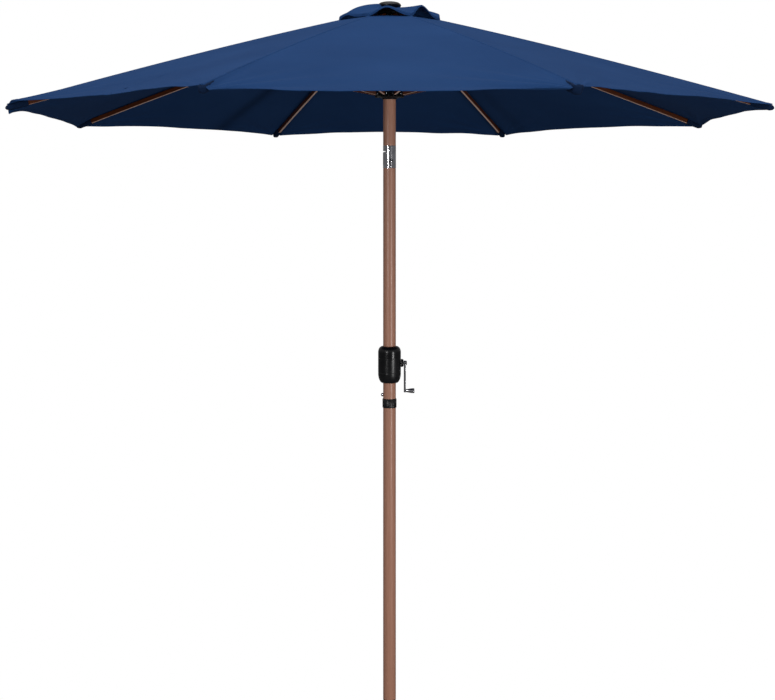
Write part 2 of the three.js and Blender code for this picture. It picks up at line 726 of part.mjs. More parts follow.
/** The canopy from one mid-panel to the next, with its rib along +X. */
function canopySector() {
  const rows = 7;
  const half = 3;
  const side = BAY / 2;
  return sheet(rows, 2 * half + 1, (row, column) => {
    const across = (column - half) / half; // -1 and 1 at mid-panel, 0 on the rib
    const toMiddle = Math.abs(across);
    const hand = across < 0 ? -1 : 1;
    const down = row / (rows - 1);
    const arcIn = HEM_ARC * (1 - (1 - toMiddle) ** 2);
    const near = VENT_HOLE_R * Math.cos(side);
    const far = CANOPY_R * Math.cos(side) - arcIn;
    const out = near + (far - near) * down;
    const wide = Math.max((1 - toMiddle) * out * Math.tan(side), GAP / 2);
    const sag = PANEL_SAG * Math.sin(Math.PI * toMiddle / 2) * down;
    return new THREE.Vector3(
      out * Math.cos(side) + wide * Math.sin(side),
      hand * (out * Math.sin(side) - wide * Math.cos(side)),
      ridgeHeight(out / Math.cos(side)) - sag,
    );
  });
}

function ventCap() {
  const perBay = 4;
  const rows = [4.6, HUB_R - 4, 110, VENT_R];
  const rise = CLOTH + 1.2;
  return sheet(rows.length, perBay * RIB_COUNT, (row, column) => {
    const angle = FIRST_RIB + (column * BAY) / perBay;
    const fromRib = Math.abs(((column + perBay / 2) % perBay) - perBay / 2) / (perBay / 2);
    const offset = fromRib * (BAY / 2);
    const octagon = Math.cos(BAY / 2) / Math.cos(BAY / 2 - offset);
    const radius = row < 2 ? rows[row] : rows[row] * octagon;
    const share = Math.max(0, (rows[row] - rows[1]) / (VENT_R - rows[1]));
    const edge = ridgeHeight(VENT_R) + rise;
    const arch = VENT_ARCH * Math.sin((Math.PI / 2) * fromRib) ** 2 * share ** 2;
    const height = VENT_TOP_Z + (edge - VENT_TOP_Z) * share + arch;
    return new THREE.Vector3(radius * Math.cos(angle), radius * Math.sin(angle), height);
  }, true);
}

function addCloth() {
  const sector = canopySector();
  ribAngles.forEach((angle, i) => {
    piece(`canopy_panel_${i + 1}`, sector, navyCloth, spoke(angle));
  });
  piece('vent_cap', ventCap(), navyCloth, top);
}

addPole();
addSnapButton();
addHousing();
addHousingScrews();
addCrank();
addTilt();
addMast();
addHub();
addRunner();
addRibsAndStruts();
addCloth();

export default umbrella;
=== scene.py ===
"""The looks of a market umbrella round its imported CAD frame: tensioned cloth, vent cap, rounded ribs,
crank housing and fittings, and every finish. Metres, +Z up, the crank on +X, the front on -Y."""

import json
import math

import bmesh
import bpy
import numpy as np
from mathutils import Matrix, Vector, noise


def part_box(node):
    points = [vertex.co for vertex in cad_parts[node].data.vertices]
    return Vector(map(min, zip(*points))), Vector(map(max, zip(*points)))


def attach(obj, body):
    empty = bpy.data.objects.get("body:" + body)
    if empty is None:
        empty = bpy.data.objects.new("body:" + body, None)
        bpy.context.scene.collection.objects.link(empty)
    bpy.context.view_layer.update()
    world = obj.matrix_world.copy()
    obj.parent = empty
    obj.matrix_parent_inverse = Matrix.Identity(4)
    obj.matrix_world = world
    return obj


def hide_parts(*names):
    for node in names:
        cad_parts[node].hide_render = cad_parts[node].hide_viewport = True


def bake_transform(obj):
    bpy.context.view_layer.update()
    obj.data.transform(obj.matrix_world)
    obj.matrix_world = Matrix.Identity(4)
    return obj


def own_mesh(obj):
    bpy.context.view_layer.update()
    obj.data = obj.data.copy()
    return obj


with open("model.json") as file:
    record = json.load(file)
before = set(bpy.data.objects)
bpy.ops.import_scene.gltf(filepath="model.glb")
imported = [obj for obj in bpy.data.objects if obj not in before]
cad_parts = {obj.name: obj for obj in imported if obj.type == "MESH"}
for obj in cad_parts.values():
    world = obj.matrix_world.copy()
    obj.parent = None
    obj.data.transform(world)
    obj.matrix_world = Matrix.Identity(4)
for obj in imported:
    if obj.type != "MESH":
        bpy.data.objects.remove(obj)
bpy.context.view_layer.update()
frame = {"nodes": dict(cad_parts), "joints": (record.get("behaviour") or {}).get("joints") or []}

# ---- driving dimensions ----

JOINTS = {joint["name"]: joint for joint in frame["joints"]}
MM = 0.001

RIBS = 8
BAY = math.tau / RIBS
HALF_BAY = BAY / 2
FIRST_RIB = -math.pi / 2 + HALF_BAY

CRANK_Z = JOINTS["crank_turn"]["pos_m"][2]
KNOB_Z = JOINTS["knob_spin"]["pos_m"][2]
TILT_Z = JOINTS["canopy_tilt"]["pos_m"][2]
TILT_AXIS = Vector(JOINTS["canopy_tilt"]["axis"])


def radius_and_height(joint):
    """A joint's distance from the mast's axis, and its height."""
    place = Vector(JOINTS[joint]["pos_m"])
    return math.hypot(place.x, place.y), place.z


HUB_PIN_R, HUB_PIN_Z = radius_and_height("rib_1_fold")
BRACKET_PIN_R, BRACKET_PIN_Z = radius_and_height("strut_1_fold")

TIP_R = 1.290
TIP_Z = 2.036
RIB_SLOPE = math.atan2(HUB_PIN_Z - TIP_Z, TIP_R - HUB_PIN_R)
RIB_LENGTH = math.hypot(HUB_PIN_Z - TIP_Z, TIP_R - HUB_PIN_R)
RIB_BOW = 0.008
RIB_WIDE = 0.010
RIB_TALL = 0.017
CLOTH_OVER_RIB = 0.0015
RUNNER_PIN_R = 0.048
RUNNER_PIN_Z = 2.118

CLOTH = 0.0008
CANOPY_R = 1.300
VENT_HOLE_R = 0.160
HEM_ARC = {7: 0.009, 5: 0.010, 1: 0.022, 4: 0.030, 2: 0.034}  # how far each bay's hem curves in
USUAL_HEM_ARC = 0.040
PANEL_SAG = {7: 0.017}  # how far each bay's middle hangs at the hem
USUAL_PANEL_SAG = 0.008
RIDGE_LIFT = 0.0050  # how far the taut cloth stands off the ribs part of the way along
# How far the hem hangs beside a rib's pocket, at a bay's lower-numbered and higher-numbered rib.
CORNER_DROOP = {
    7: (0.016, 0.010), 0: (0.005, 0.0), 6: (-0.013, 0.0), 5: (0.016, 0.034), 1: (0.018, 0.012),
}
USUAL_CORNER_DROOP = (0.011, 0.011)
DROOP_REACH = {7: 0.26, 6: 0.24}  # how far along the hem a bay's corners pull it down
USUAL_DROOP_REACH = 0.16
VENT_R = 0.186
CROWN_R = 0.060
VENT_TOP = 2.4125
POCKET_LENGTH = 0.057

NEAR = VENT_HOLE_R * math.cos(HALF_BAY)
FAR = CANOPY_R * math.cos(HALF_BAY)

# ---- meshes ----


def link(name, mesh):
    """An object in the scene for a mesh."""
    piece = bpy.data.objects.new(name, mesh)
    bpy.context.scene.collection.objects.link(piece)
    return piece


def mesh_of(name, points, faces, material, smooth=True):
    """A mesh from points and faces, with one material."""
    mesh = bpy.data.meshes.new(name)
    mesh.from_pydata([tuple(p) for p in points], [], faces)
    mesh.polygons.foreach_set("use_smooth", [smooth] * len(mesh.polygons))
    mesh.materials.append(material)
    mesh.validate()
    return mesh


QUARTER_X = Matrix.Rotation(math.pi / 2, 4, "X")
QUARTER_Y = Matrix.Rotation(math.pi / 2, 4, "Y")
HARD_EDGE = math.radians(35)
MERGE_REACH = 1e-6


def shaded(piece, weight):
    """Lets a piece's large faces set its shading."""
    piece.modifiers.new("shade", "WEIGHTED_NORMAL").weight = weight
    return piece


def rounded(piece, width, segments=2):
    """Rounds a piece's hard edges, and lets its large faces set the shading."""
    bevel = piece.modifiers.new("round", "BEVEL")
    bevel.width = width
    bevel.segments = segments
    bevel.limit_method = "ANGLE"
    bevel.angle_limit = HARD_EDGE
    bevel.use_clamp_overlap = True
    return shaded(piece, 80)


def arc(centre_r, centre_z, radius_r, radius_z, start, end, steps):
    """Profile points along an elliptical arc, in degrees from +r."""
    turn = [math.radians(start + (end - start) * k / steps) for k in range(steps + 1)]
    return [(centre_r + radius_r * math.cos(a), centre_z + radius_z * math.sin(a)) for a in turn]


def lathe(name, profile, material, sides=64, start=0.0, sweep=math.tau, dent=None):
    """A profile of (radius, height) turned about Z. A part turn is closed with flat cheeks.
    dent(angle, radius, height) may change a point's radius."""
    whole = sweep >= math.tau - 1e-9
    columns = sides if whole else sides + 1
    points, faces = [], []
    for k in range(columns):
        a = start + sweep * k / sides
        for r, z in profile:
            r = dent(a, r, z) if dent else r
            points.append((r * math.cos(a), r * math.sin(a), z))
    count = len(profile)
    for k in range(sides):
        here, there = k * count, ((k + 1) % columns) * count
        for j in range(count):
            nxt = (j + 1) % count
            faces.append((here + j, there + j, there + nxt, here + nxt))
    if not whole:
        faces.append(tuple(reversed(range(count))))
        faces.append(tuple(range((columns - 1) * count, columns * count)))
    mesh = mesh_of(name, points, faces, material)
    return link(name, cleaned(mesh))


def cleaned(mesh):
    """Merges the points that a profile puts on its axis, and drops the faces that vanish."""
    work = bmesh.new()
    work.from_mesh(mesh)
    bmesh.ops.remove_doubles(work, verts=work.verts, dist=MERGE_REACH)
    bmesh.ops.dissolve_degenerate(work, edges=work.edges, dist=MERGE_REACH)
    bmesh.ops.recalc_face_normals(work, faces=work.faces)
    work.to_mesh(mesh)
    work.free()
    return mesh


def along_x(piece, at, turn=0.0):
    """Lays a piece made about Z along +X, turns it about Z and places it."""
    place = Matrix.Translation(at) @ Matrix.Rotation(turn, 4, "Z") @ QUARTER_Y
    piece.data.transform(place)
    return piece


def extruded(name, outline, width, material):
    """An outline in XZ pulled to a width along Y, centred on y = 0."""
    count = len(outline)
    points = [(x, side * width / 2, z) for side in (-1, 1) for x, z in outline]
    faces = [tuple(range(count)), tuple(reversed(range(count, 2 * count)))]
    for j in range(count):
        nxt = (j + 1) % count
        faces.append((j, j + count, nxt + count, nxt))
    mesh = mesh_of(name, points, faces, material)
    return link(name, cleaned(mesh))


def joined(name, pieces):
    """One piece from several, keeping each one's material and applying its modifiers."""
    graph = bpy.context.evaluated_depsgraph_get()
    work = bmesh.new()
    mesh = bpy.data.meshes.new(name)
    for piece in pieces:
        copy = bpy.data.meshes.new_from_object(piece.evaluated_get(graph), depsgraph=graph)
        copy.transform(piece.matrix_world)
        slots = []
        for material in copy.materials:
            if material.name not in mesh.materials:
                mesh.materials.append(material)
            slots.append(mesh.materials.find(material.name))
        for polygon in copy.polygons:
            polygon.material_index = slots[polygon.material_index]
        work.from_mesh(copy)
        bpy.data.meshes.remove(copy)
        bpy.data.objects.remove(piece)
    work.to_mesh(mesh)
    work.free()
    return link(name, mesh)


def stand_in(piece, body, slot, *nodes):
    """A finished piece that rides on a body and stands for CAD nodes."""
    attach(piece, body)
    if nodes:
        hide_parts(*nodes)


# ---- materials ----


class Nodes:
    """A node tree, with short calls for the nodes used here."""

    def __init__(self, tree):
        self.tree = tree

    def node(self, kind, **settings):
        made = self.tree.nodes.new(kind)
        for key, value in settings.items():
            setattr(made, key, value)
        return made

    def wire(self, source, target):
        self.tree.links.new(source, target)

    def plug(self, socket, value):
        """Feeds an input with a constant or another node's output."""
        if isinstance(value, bpy.types.NodeSocket):
            self.wire(value, socket)
        else:
            socket.default_value = value

    def fill(self, made, **values):
        """Sets a node's inputs by name."""
        for key, value in values.items():
            self.plug(made.inputs[key.replace("_", " ")], value)
        return made

    def math(self, operation, a, b=None):
        made = self.node("ShaderNodeMath", operation=operation)
        for socket, value in zip(made.inputs, (a, b)):
            if value is not None:
                self.plug(socket, value)
        return made.outputs["Value"]

    def weigh(self, first, share, second):
        """A share of one value, and the rest of another."""
        return self.math("ADD", self.math("MULTIPLY", first, share),
                         self.math("MULTIPLY", second, 1 - share))

    def split(self, vector):
        """A vector's X, Y and Z."""
        made = self.fill(self.node("ShaderNodeSeparateXYZ"), Vector=vector)
        return made.outputs["X"], made.outputs["Y"], made.outputs["Z"]

    def range(self, value, low, high, to_low, to_high):
        made = self.node("ShaderNodeMapRange")
        self.fill(made, Value=value, From_Min=low, From_Max=high, To_Min=to_low, To_Max=to_high)
        return made.outputs["Result"]

    def mix(self, factor, first, second):
        """A colour between two colours, each a constant or another node's colour."""
        made = self.node("ShaderNodeMix", data_type="RGBA")
        self.wire(factor, made.inputs["Factor"])
        for socket, value in ((made.inputs[6], first), (made.inputs[7], second)):
            self.plug(socket, (*value, 1) if isinstance(value, tuple) else value)
        return made.outputs[2]

    def bump(self, height, distance, strength, under=None):
        made = self.node("ShaderNodeBump")
        self.fill(made, Distance=distance, Strength=strength, Height=height)
        if under:
            self.wire(under, made.inputs["Normal"])
        return made.outputs["Normal"]


class Shader(Nodes):
    """A material's nodes, round its principled surface."""

    def __init__(self, name):
        self.material = bpy.data.materials.new(name)
        self.material.use_nodes = True
        super().__init__(self.material.node_tree)
        self.surface = self.tree.nodes["Principled BSDF"]
        self.place = self.node("ShaderNodeTexCoord").outputs["Object"]

    def set(self, **values):
        self.fill(self.surface, **values)

    def stretched(self, scale, place=None):
        """Coordinates scaled by a different amount along each axis."""
        made = self.node("ShaderNodeMapping")
        return self.fill(made, Scale=scale, Vector=place or self.place).outputs["Vector"]

    def noise(self, scale, detail, place=None, roughness=0.5):
        made = self.node("ShaderNodeTexNoise")
        self.fill(made, Scale=scale, Detail=detail, Roughness=roughness, Vector=place or self.place)
        return made.outputs["Fac"]

    def finish(self, normal):
        self.set(Normal=normal)
        return self.material


def wood_tone(name):
    """Brown satin powder coat with a faint printed grain that runs along Z."""
    shader = Shader(name)
    streaks = (22, 22, 0.6)
    grain = shader.noise(9, 5, shader.stretched(streaks), 0.6)
    fine = shader.noise(60, 3, shader.stretched(streaks), 0.6)
    factor = shader.range(shader.weigh(grain, 0.65, fine), 0.35, 0.65, 0, 1)
    shader.set(Base_Color=shader.mix(factor, (0.570, 0.262, 0.170), (0.680, 0.338, 0.225)))
    shader.set(Roughness=shader.range(shader.noise(14, 4), 0.3, 0.7, 0.36, 0.48),
               Coat_Weight=0.35, Coat_Roughness=0.22)
    peel = shader.noise(900, 2)
    return shader.finish(shader.bump(peel, 0.00008, 0.35, shader.bump(fine, 0.00012, 0.3)))


def lit_and_shaded_bar(name):
    """The ribs' finish: the same print over a bar with painted shade, nearly black, on all but its narrow
    lower face, and a painted highlight on that face.
    """
    shader = Shader(name)
    grain = shader.noise(9, 5, shader.stretched((0.6, 22, 22)), 0.6)
    # Painted light set by which way the surface faces: a painted highlight where it faces down, painted
    # shade on the sides and top.
    facing_up = shader.split(shader.node("ShaderNodeTexCoord").outputs["Normal"])[2]
    side = shader.range(facing_up, -0.9, -0.6, 0, 1)
    streak = shader.range(grain, 0.35, 0.65, 0, 1)
    # Painted highlight colour for the lower face, and painted shade colour, nearly black, for the sides and
    # top.
    narrow = shader.mix(streak, (0.84, 0.52, 0.40), (0.95, 0.68, 0.56))
    broad = shader.mix(streak, (0.085, 0.018, 0.004), (0.125, 0.032, 0.009))
    shader.set(Base_Color=shader.mix(side, narrow, broad))
    shader.set(Roughness=0.42, Specular_IOR_Level=0.2)
    return shader.finish(shader.bump(grain, 0.00012, 0.3))


def moulded(name, colour, roughness):
    """Moulded plastic with a fine spark-eroded texture and a little handling gloss."""
    shader = Shader(name)
    cloud = shader.noise(22, 4)
    lighter = tuple(c * 1.4 + 0.0006 for c in colour)
    shader.set(Base_Color=shader.mix(shader.range(cloud, 0.3, 0.75, 0, 1), colour, lighter))
    shader.set(Roughness=shader.range(cloud, 0.3, 0.7, roughness - 0.05, roughness + 0.08))
    return shader.finish(shader.bump(shader.noise(1400, 2), 0.00002, 0.12))


def metal(name, colour, roughness, brushed=(1, 1, 1), depth=0.00004):
    """Plated or bare metal with faint polishing marks, dulled in patches."""
    shader = Shader(name)
    marks = shader.noise(420, 3, shader.stretched(brushed))
    cloud = shader.noise(35, 4)
    darker = tuple(c * 0.78 for c in colour)
    shader.set(Base_Color=shader.mix(shader.range(cloud, 0.35, 0.75, 0, 1), colour, darker))
    both = shader.weigh(marks, 0.6, cloud)
    shader.set(Metallic=1.0, Roughness=shader.range(both, 0.3, 0.7, roughness * 0.7, roughness * 1.35))
    return shader.finish(shader.bump(marks, depth, 0.6))


HEM_STITCH = 0.014  # from the hem's edge to its line of stitching
SEAM_STITCH = 0.0045  # from a ridge to each of its two lines of stitching
THREAD_PITCH = 0.0011
STITCH_PITCH = 0.0036


def canopy_cloth(name, base, light):
    """Plain-weave polyester. The first UV map is the panel's flat cut in metres, and the second is the
    distance to the hem and to the ridge seam."""
    shader = Shader(name)
    cut = shader.node("ShaderNodeUVMap", uv_map="cut").outputs["UV"]
    edges = shader.node("ShaderNodeUVMap", uv_map="edges").outputs["UV"]
    across, down, _ = shader.split(cut)
    hem, seam, _ = shader.split(edges)

    thread = math.tau / THREAD_PITCH
    warp = shader.math("SINE", shader.math("MULTIPLY", across, thread))
    weft = shader.math("SINE", shader.math("MULTIPLY", down, thread))
    weave = shader.range(shader.math("MULTIPLY", warp, weft), -1, 1, 0, 1)
    slub = shader.noise(90, 4, shader.stretched((1, 14, 1), cut), 0.65)
    slub_down = shader.noise(90, 4, shader.stretched((14, 1, 1), cut), 0.65)
    cloud = shader.noise(3.2, 3, cut)

    def line(distance, at, half):
        """1 on a line at a distance from an edge, 0 away from it."""
        off = shader.math("ABSOLUTE", shader.math("SUBTRACT", distance, at))
        return shader.range(off, half * 0.5, half, 1, 0)

    stitch = math.tau / STITCH_PITCH

    def dashes(distance):
        """1 on the stitches and 0 between them."""
        wave = shader.math("SINE", shader.math("MULTIPLY", distance, stitch))
        return shader.range(wave, -0.4, 0.1, 0, 1)

    groove = shader.math("MAXIMUM", line(hem, HEM_STITCH, 0.0016), line(seam, SEAM_STITCH, 0.0014))
    thread_hem = shader.math("MULTIPLY", line(hem, HEM_STITCH, 0.0007), dashes(across))
    thread_seam = shader.math("MULTIPLY", line(seam, SEAM_STITCH, 0.0007), dashes(down))
    threads = shader.math("MAXIMUM", thread_hem, thread_seam)

    mottle = shader.weigh(slub, 0.5, slub_down)
    tone = shader.weigh(mottle, 0.55, cloud)
    body = shader.mix(shader.range(tone, 0.36, 0.64, 0, 1), base, light)
    # Painted shade in the stitch grooves: the cloth's colour darkened where the groove dips.
    dark = tuple(c * 0.45 for c in base)
    body = shader.mix(shader.math("MULTIPLY", groove, 0.55), body, dark)
    shader.set(Base_Color=shader.mix(threads, body, tuple(c * 1.5 for c in light)))
    shader.set(Roughness=shader.range(mottle, 0.3, 0.7, 0.82, 0.98), Specular_IOR_Level=0.10)
    normal = shader.bump(weave, 0.00012, 0.35)
    normal = shader.bump(mottle, 0.0004, 0.35, normal)
    normal = shader.bump(shader.math("SUBTRACT", 1.0, groove), 0.0006, 0.7, normal)
    return shader.finish(normal)


wood_pole = wood_tone("wood_tone_pole")
# The ribs and struts: the wood tone with a painted highlight and painted shade in its colour.
wood_rib_painted_light = lit_and_shaded_bar("wood_tone_rib_painted_light")
black_plastic = moulded("black_plastic", (0.0030, 0.0031, 0.0042), 0.27)
matt_black = moulded("matt_black_plastic", (0.0022, 0.0022, 0.0030), 0.32)
grey_plastic = moulded("grey_plastic", (0.034, 0.035, 0.039), 0.45)
plated = metal("bright_plate", (0.60, 0.60, 0.63), 0.15, (1, 1, 8), 0.00001)
zinc = metal("dull_zinc", (0.5, 0.51, 0.53), 0.36)
spring_steel = metal("spring_steel", (0.42, 0.43, 0.46), 0.3, (1, 1, 12))
navy = canopy_cloth("canopy_cloth", (0.0110, 0.0450, 0.145), (0.0155, 0.0570, 0.175))
# The pockets' cloth is the canopy cloth darkened to about a third: painted shade for their place under the
# canopy.
pocket_navy_painted_shade = canopy_cloth("pocket_cloth_painted_shade", (0.0045, 0.0150, 0.048), (0.0065, 0.0205, 0.062))

# ---- camera, light and floor ----


def add_camera():
    """A level camera in front, a little above eye height, with the film shifted down to take in the pole."""
    data = bpy.data.cameras.new("camera")
    data.lens = 64.1
    data.sensor_width = 36
    data.shift_y = -0.1844
    camera = bpy.data.objects.new("camera", data)
    camera.location = (-0.007, -4.826, 1.722)
    camera.rotation_euler = (math.pi / 2, 0, 0)
    bpy.context.scene.collection.objects.link(camera)
    bpy.context.scene.camera = camera


def add_softbox(name, at, aim, size, power):
    """A rectangular area light at a place, turned to face another."""
    data = bpy.data.lights.new(name, "AREA")
    data.shape = "RECTANGLE"
    data.size, data.size_y = size
    data.energy = power
    light = bpy.data.objects.new(name, data)
    light.location = at
    light.rotation_euler = (Vector(aim) - Vector(at)).to_track_quat("-Z", "Y").to_euler()
    bpy.context.scene.collection.objects.link(light)


def seen_and_lit(nodes, seen, lit, out):
    """Ends a cleared tree: the camera gets one shader, and every other ray another."""
    camera_ray = nodes.node("ShaderNodeLightPath").outputs["Is Camera Ray"]
    mix = nodes.fill(nodes.node("ShaderNodeMixShader"), Fac=camera_ray)
    nodes.wire(lit.outputs[0], mix.inputs[1])
    nodes.wire(seen.outputs[0], mix.inputs[2])
    nodes.fill(nodes.node(out), Surface=mix.outputs["Shader"])


def add_surroundings():
    """A white room: the camera sees white, and the light from it is soft and dim towards the floor."""
    world = bpy.data.worlds.new("studio")
    bpy.context.scene.world = world
    world.use_nodes = True
    nodes = Nodes(world.node_tree)
    nodes.tree.nodes.clear()
    height = nodes.split(nodes.node("ShaderNodeTexCoord").outputs["Generated"])[2]
    ramp = nodes.fill(nodes.node("ShaderNodeValToRGB"), Fac=nodes.range(height, -1, 1, 0, 1))
    steps = ((0.0, 0.08), (0.42, 0.22), (0.56, 0.58), (0.9, 0.95))
    while len(ramp.color_ramp.elements) < len(steps):
        ramp.color_ramp.elements.new(0.5)
    for element, (place_up, level) in zip(ramp.color_ramp.elements, steps):
        element.position = place_up
        element.color = (level, level, level * 1.02, 1)
    seen = nodes.fill(nodes.node("ShaderNodeBackground"), Color=(1, 1, 1, 1))
    lit = nodes.fill(nodes.node("ShaderNodeBackground"), Color=ramp.outputs["Color"], Strength=0.38)
    seen_and_lit(nodes, seen, lit, "ShaderNodeOutputWorld")


def add_floor():
    """A floor that the camera sees as plain white, and that throws little light upwards."""
    reach = 40.0
    corners = [(-reach, -reach, 0), (reach, -reach, 0), (reach, reach, 0), (-reach, reach, 0)]
    material = bpy.data.materials.new("pale_floor")
    material.use_nodes = True
    nodes = Nodes(material.node_tree)
    nodes.tree.nodes.clear()
    bounce = nodes.fill(nodes.node("ShaderNodeBsdfDiffuse"), Color=(0.22, 0.22, 0.22, 1))
    seen_and_lit(nodes, nodes.node("ShaderNodeEmission"), bounce, "ShaderNodeOutputMaterial")
    floor = link("floor", mesh_of("floor", corners, [(0, 1, 2, 3)], material, smooth=False))


add_camera()
add_surroundings()
add_floor()
add_softbox("overhead", (0.0, -1.1, 5.0), (0, 0, 2.2), (4.5, 3.5), 90)
add_softbox("left_strip", (-1.9, -3.6, 1.85), (0, 0, 1.8), (0.08, 1.3), 26)
add_softbox("right_strip", (2.5, -3.3, 0.85), (0, 0, 1.3), (0.22, 1.7), 40)
bpy.context.scene.view_settings.view_transform = "Standard"

# ---- cloth ----


def rib_angle(index):
    """The direction of rib_1, rib_2 and so on, for index 0, 1 and so on."""
    return FIRST_RIB + index * BAY


def bow(along):
    """How far a rib arches up at a distance from its hub pin."""
    share = min(max(along / RIB_LENGTH, 0), 1)
    return 4 * RIB_BOW * share * (1 - share)


def ridge_height(radius):
    """The height of the cloth's underside on a rib."""
    along = (radius - HUB_PIN_R) / math.cos(RIB_SLOPE)
    line = HUB_PIN_Z - (radius - HUB_PIN_R) * math.tan(RIB_SLOPE)
    return line + bow(along) + (RIB_TALL / 2 + CLOTH_OVER_RIB) / math.cos(RIB_SLOPE)


def smooth(value, low, high):
    """0 below low, 1 above high, and an S-curve between."""
    share = min(max((value - low) / (high - low), 0), 1)
    return share * share * (3 - 2 * share)


def bay_frame(bay):
    """Unit vectors out along a panel's middle and across it."""
    middle = rib_angle(bay) + HALF_BAY
    return Vector((math.cos(middle), math.sin(middle), 0)), Vector((-math.sin(middle), math.cos(middle), 0))


# How strongly the cloth gathers at each rib's pocket, on its lower-numbered and higher-numbered side.
PULL = {0: (1.0, 0.5), 7: (0.35, 0.75), 1: (0.35, 0.4), 6: (0.45, 0.3)}
USUAL_PULL = (0.35, 0.35)
FOLD_TALL = 0.0055
FOLD_PEAK = 0.10  # from the corner to where its folds are tallest
FOLD_END = 0.55
FOLDS = 15


def pull_folds(bay, from_hem, from_rib, side):
    """Folds that radiate from the corner where a panel is sewn to a rib's pocket."""
    rib = (bay if side < 0 else bay + 1) % RIBS
    strength = PULL.get(rib, USUAL_PULL)[1 if side < 0 else 0]
    distance = math.hypot(from_hem, from_rib)
    if distance > FOLD_END or distance < 1e-6:
        return 0.0
    steepest = math.pi / 2 - HALF_BAY
    angle = math.atan2(max(from_hem, 0), from_rib)
    open_side = 1 - min(angle / steepest, 1) ** 3
    swell = (distance / FOLD_PEAK) * math.exp(1 - distance / FOLD_PEAK)
    wander = 0.5 * noise.noise(Vector((3.1 * rib + side, distance * 9, 0.3)))
    folds = math.cos(FOLDS * angle + 1.9 * rib + 0.8 * side + wander)
    return FOLD_TALL * strength * swell * open_side * folds


BROAD_WAVE = 0.0055  # the free cloth's slow unevenness
HEM_FLUTTER = 0.003
FRONT_DROOP_DEPTH = 0.12  # how far in from the hem a corner's droop reaches
BACK_DROOP_DEPTH = 0.045


def panel_height(bay, t, out, from_hem, down):
    """The underside of a stretched panel. t is -1 and 1 on its ribs, out is along its middle."""
    toward_middle = 1 - abs(t)
    half = out * math.tan(HALF_BAY)
    z = ridge_height(out / math.cos(HALF_BAY))
    z += RIDGE_LIFT * math.sin(math.pi * min(out / FAR, 1) ** 0.6)
    z -= PANEL_SAG.get(bay, USUAL_PANEL_SAG) * math.sin(math.pi / 2 * toward_middle) * down
    from_rib = toward_middle * half
    z += pull_folds(bay, from_hem, from_rib, -1 if t < 0 else 1)
    droop = CORNER_DROOP.get(bay, USUAL_CORNER_DROOP)[0 if t < 0 else 1]
    hang = smooth(from_rib, 0.004, 0.022) * math.exp(-from_rib / DROOP_REACH.get(bay, USUAL_DROOP_REACH))
    z -= droop * hang * math.exp(-from_hem / (BACK_DROOP_DEPTH if abs(bay - 3) < 3 else FRONT_DROOP_DEPTH))
    free = smooth(from_rib, 0, 0.15) * smooth(down, 0.02, 0.4)
    broad = noise.noise(Vector((bay * 7.3, t * half * 2.6, out * 2.4)))
    z += BROAD_WAVE * free * broad
    flutter = noise.noise(Vector((bay * 3.7 + 40, t * half * 9, 0.5)))
    z += HEM_FLUTTER * flutter * smooth(from_rib, 0, 0.08) * math.exp(-from_hem / 0.05)
    return z


def grid_faces(rows, columns, first, flip):
    """Four-sided faces over a grid of points, whose first point has the index first."""
    faces = []
    for r in range(rows - 1):
        for c in range(columns - 1):
            a = first + r * columns + c
            quad = (a, a + 1, a + columns + 1, a + columns)
            faces.append(tuple(reversed(quad)) if flip else quad)
    return faces


def grid_normals(points):
    """The upward normal at each point of a grid whose rows run inwards from the hem."""
    down = np.gradient(points, axis=0)
    over = np.gradient(points, axis=1)
    normal = np.cross(over, down)
    normal *= np.sign(normal[..., 2:3].sum()) or 1
    return normal / np.linalg.norm(normal, axis=-1, keepdims=True)


def add_maps(mesh, **layers):
    """UV maps in metres, from one pair of numbers for each vertex."""
    index = np.zeros(len(mesh.loops), np.int32)
    mesh.loops.foreach_get("vertex_index", index)
    for name, values in layers.items():
        uv = mesh.uv_layers.new(name=name)
        uv.data.foreach_set("uv", np.asarray(values)[index].astype(np.float32).ravel())


def thin_sheet(name, under, thickness, cut, edges, material):
    """A closed sheet of cloth over a grid. under is (rows, columns, 3), and the top stands one thickness
    off it. cut and edges are (rows, columns, 2) for the two UV maps."""
    rows, columns = under.shape[:2]
    top = under + grid_normals(under) * np.asarray(thickness)[..., None]
    points = np.concatenate([under.reshape(-1, 3), top.reshape(-1, 3)])
    count = rows * columns
    faces = grid_faces(rows, columns, 0, False) + grid_faces(rows, columns, count, True)
    ring = list(range(columns))
    ring += [r * columns + columns - 1 for r in range(1, rows)]
    ring += [(rows - 1) * columns + c for c in range(columns - 2, -1, -1)]
    ring += [r * columns for r in range(rows - 2, 0, -1)]
    pairs = [(ring[k], ring[k - 1]) for k in range(len(ring))]
    rim = [(a, b, b + count, a + count) for a, b in pairs]
    mesh = mesh_of(name, points, faces + rim, material)
    on_rim = {frozenset(pair) for a, b in pairs for pair in ((a, b), (a + count, b + count))}
    for edge in mesh.edges:
        edge.use_edge_sharp = frozenset(edge.vertices) in on_rim
    cut, edges = (np.concatenate([values.reshape(-1, 2)] * 2) for values in (cut, edges))
    add_maps(mesh, cut=cut, edges=edges)
    return link(name, mesh)


def flat_area(points):
    """The area of a grid of points."""
    a = points[1:, :-1] - points[:-1, :-1]
    b = points[:-1, 1:] - points[:-1, :-1]
    return float(np.linalg.norm(np.cross(a, b), axis=-1).sum())


def steps_from(edge_steps, total, growth, last):
    """Distances from an edge: some set ones, then ones that grow up to a largest step, to a total."""
    fixed = reached = edge_steps[-1]
    step = max(fixed - edge_steps[-2], 0.002)
    grown = []
    while reached < total:
        step = min(step * growth, last)
        reached += step
        grown.append(reached)
    scale = (total - fixed) / (reached - fixed)
    return [*edge_steps, *(fixed + (d - fixed) * scale for d in grown)]


HEM_BAND = (0.0135, 0.0150)  # the turned-in hem's inner edge, and where the cloth is plain again
SEAM_WELT = (0.0046, 0.0058)  # the same for the seam over a rib
STRAIGHT_HEM = 0.02  # this much of the hem keeps its width where the hem curves in


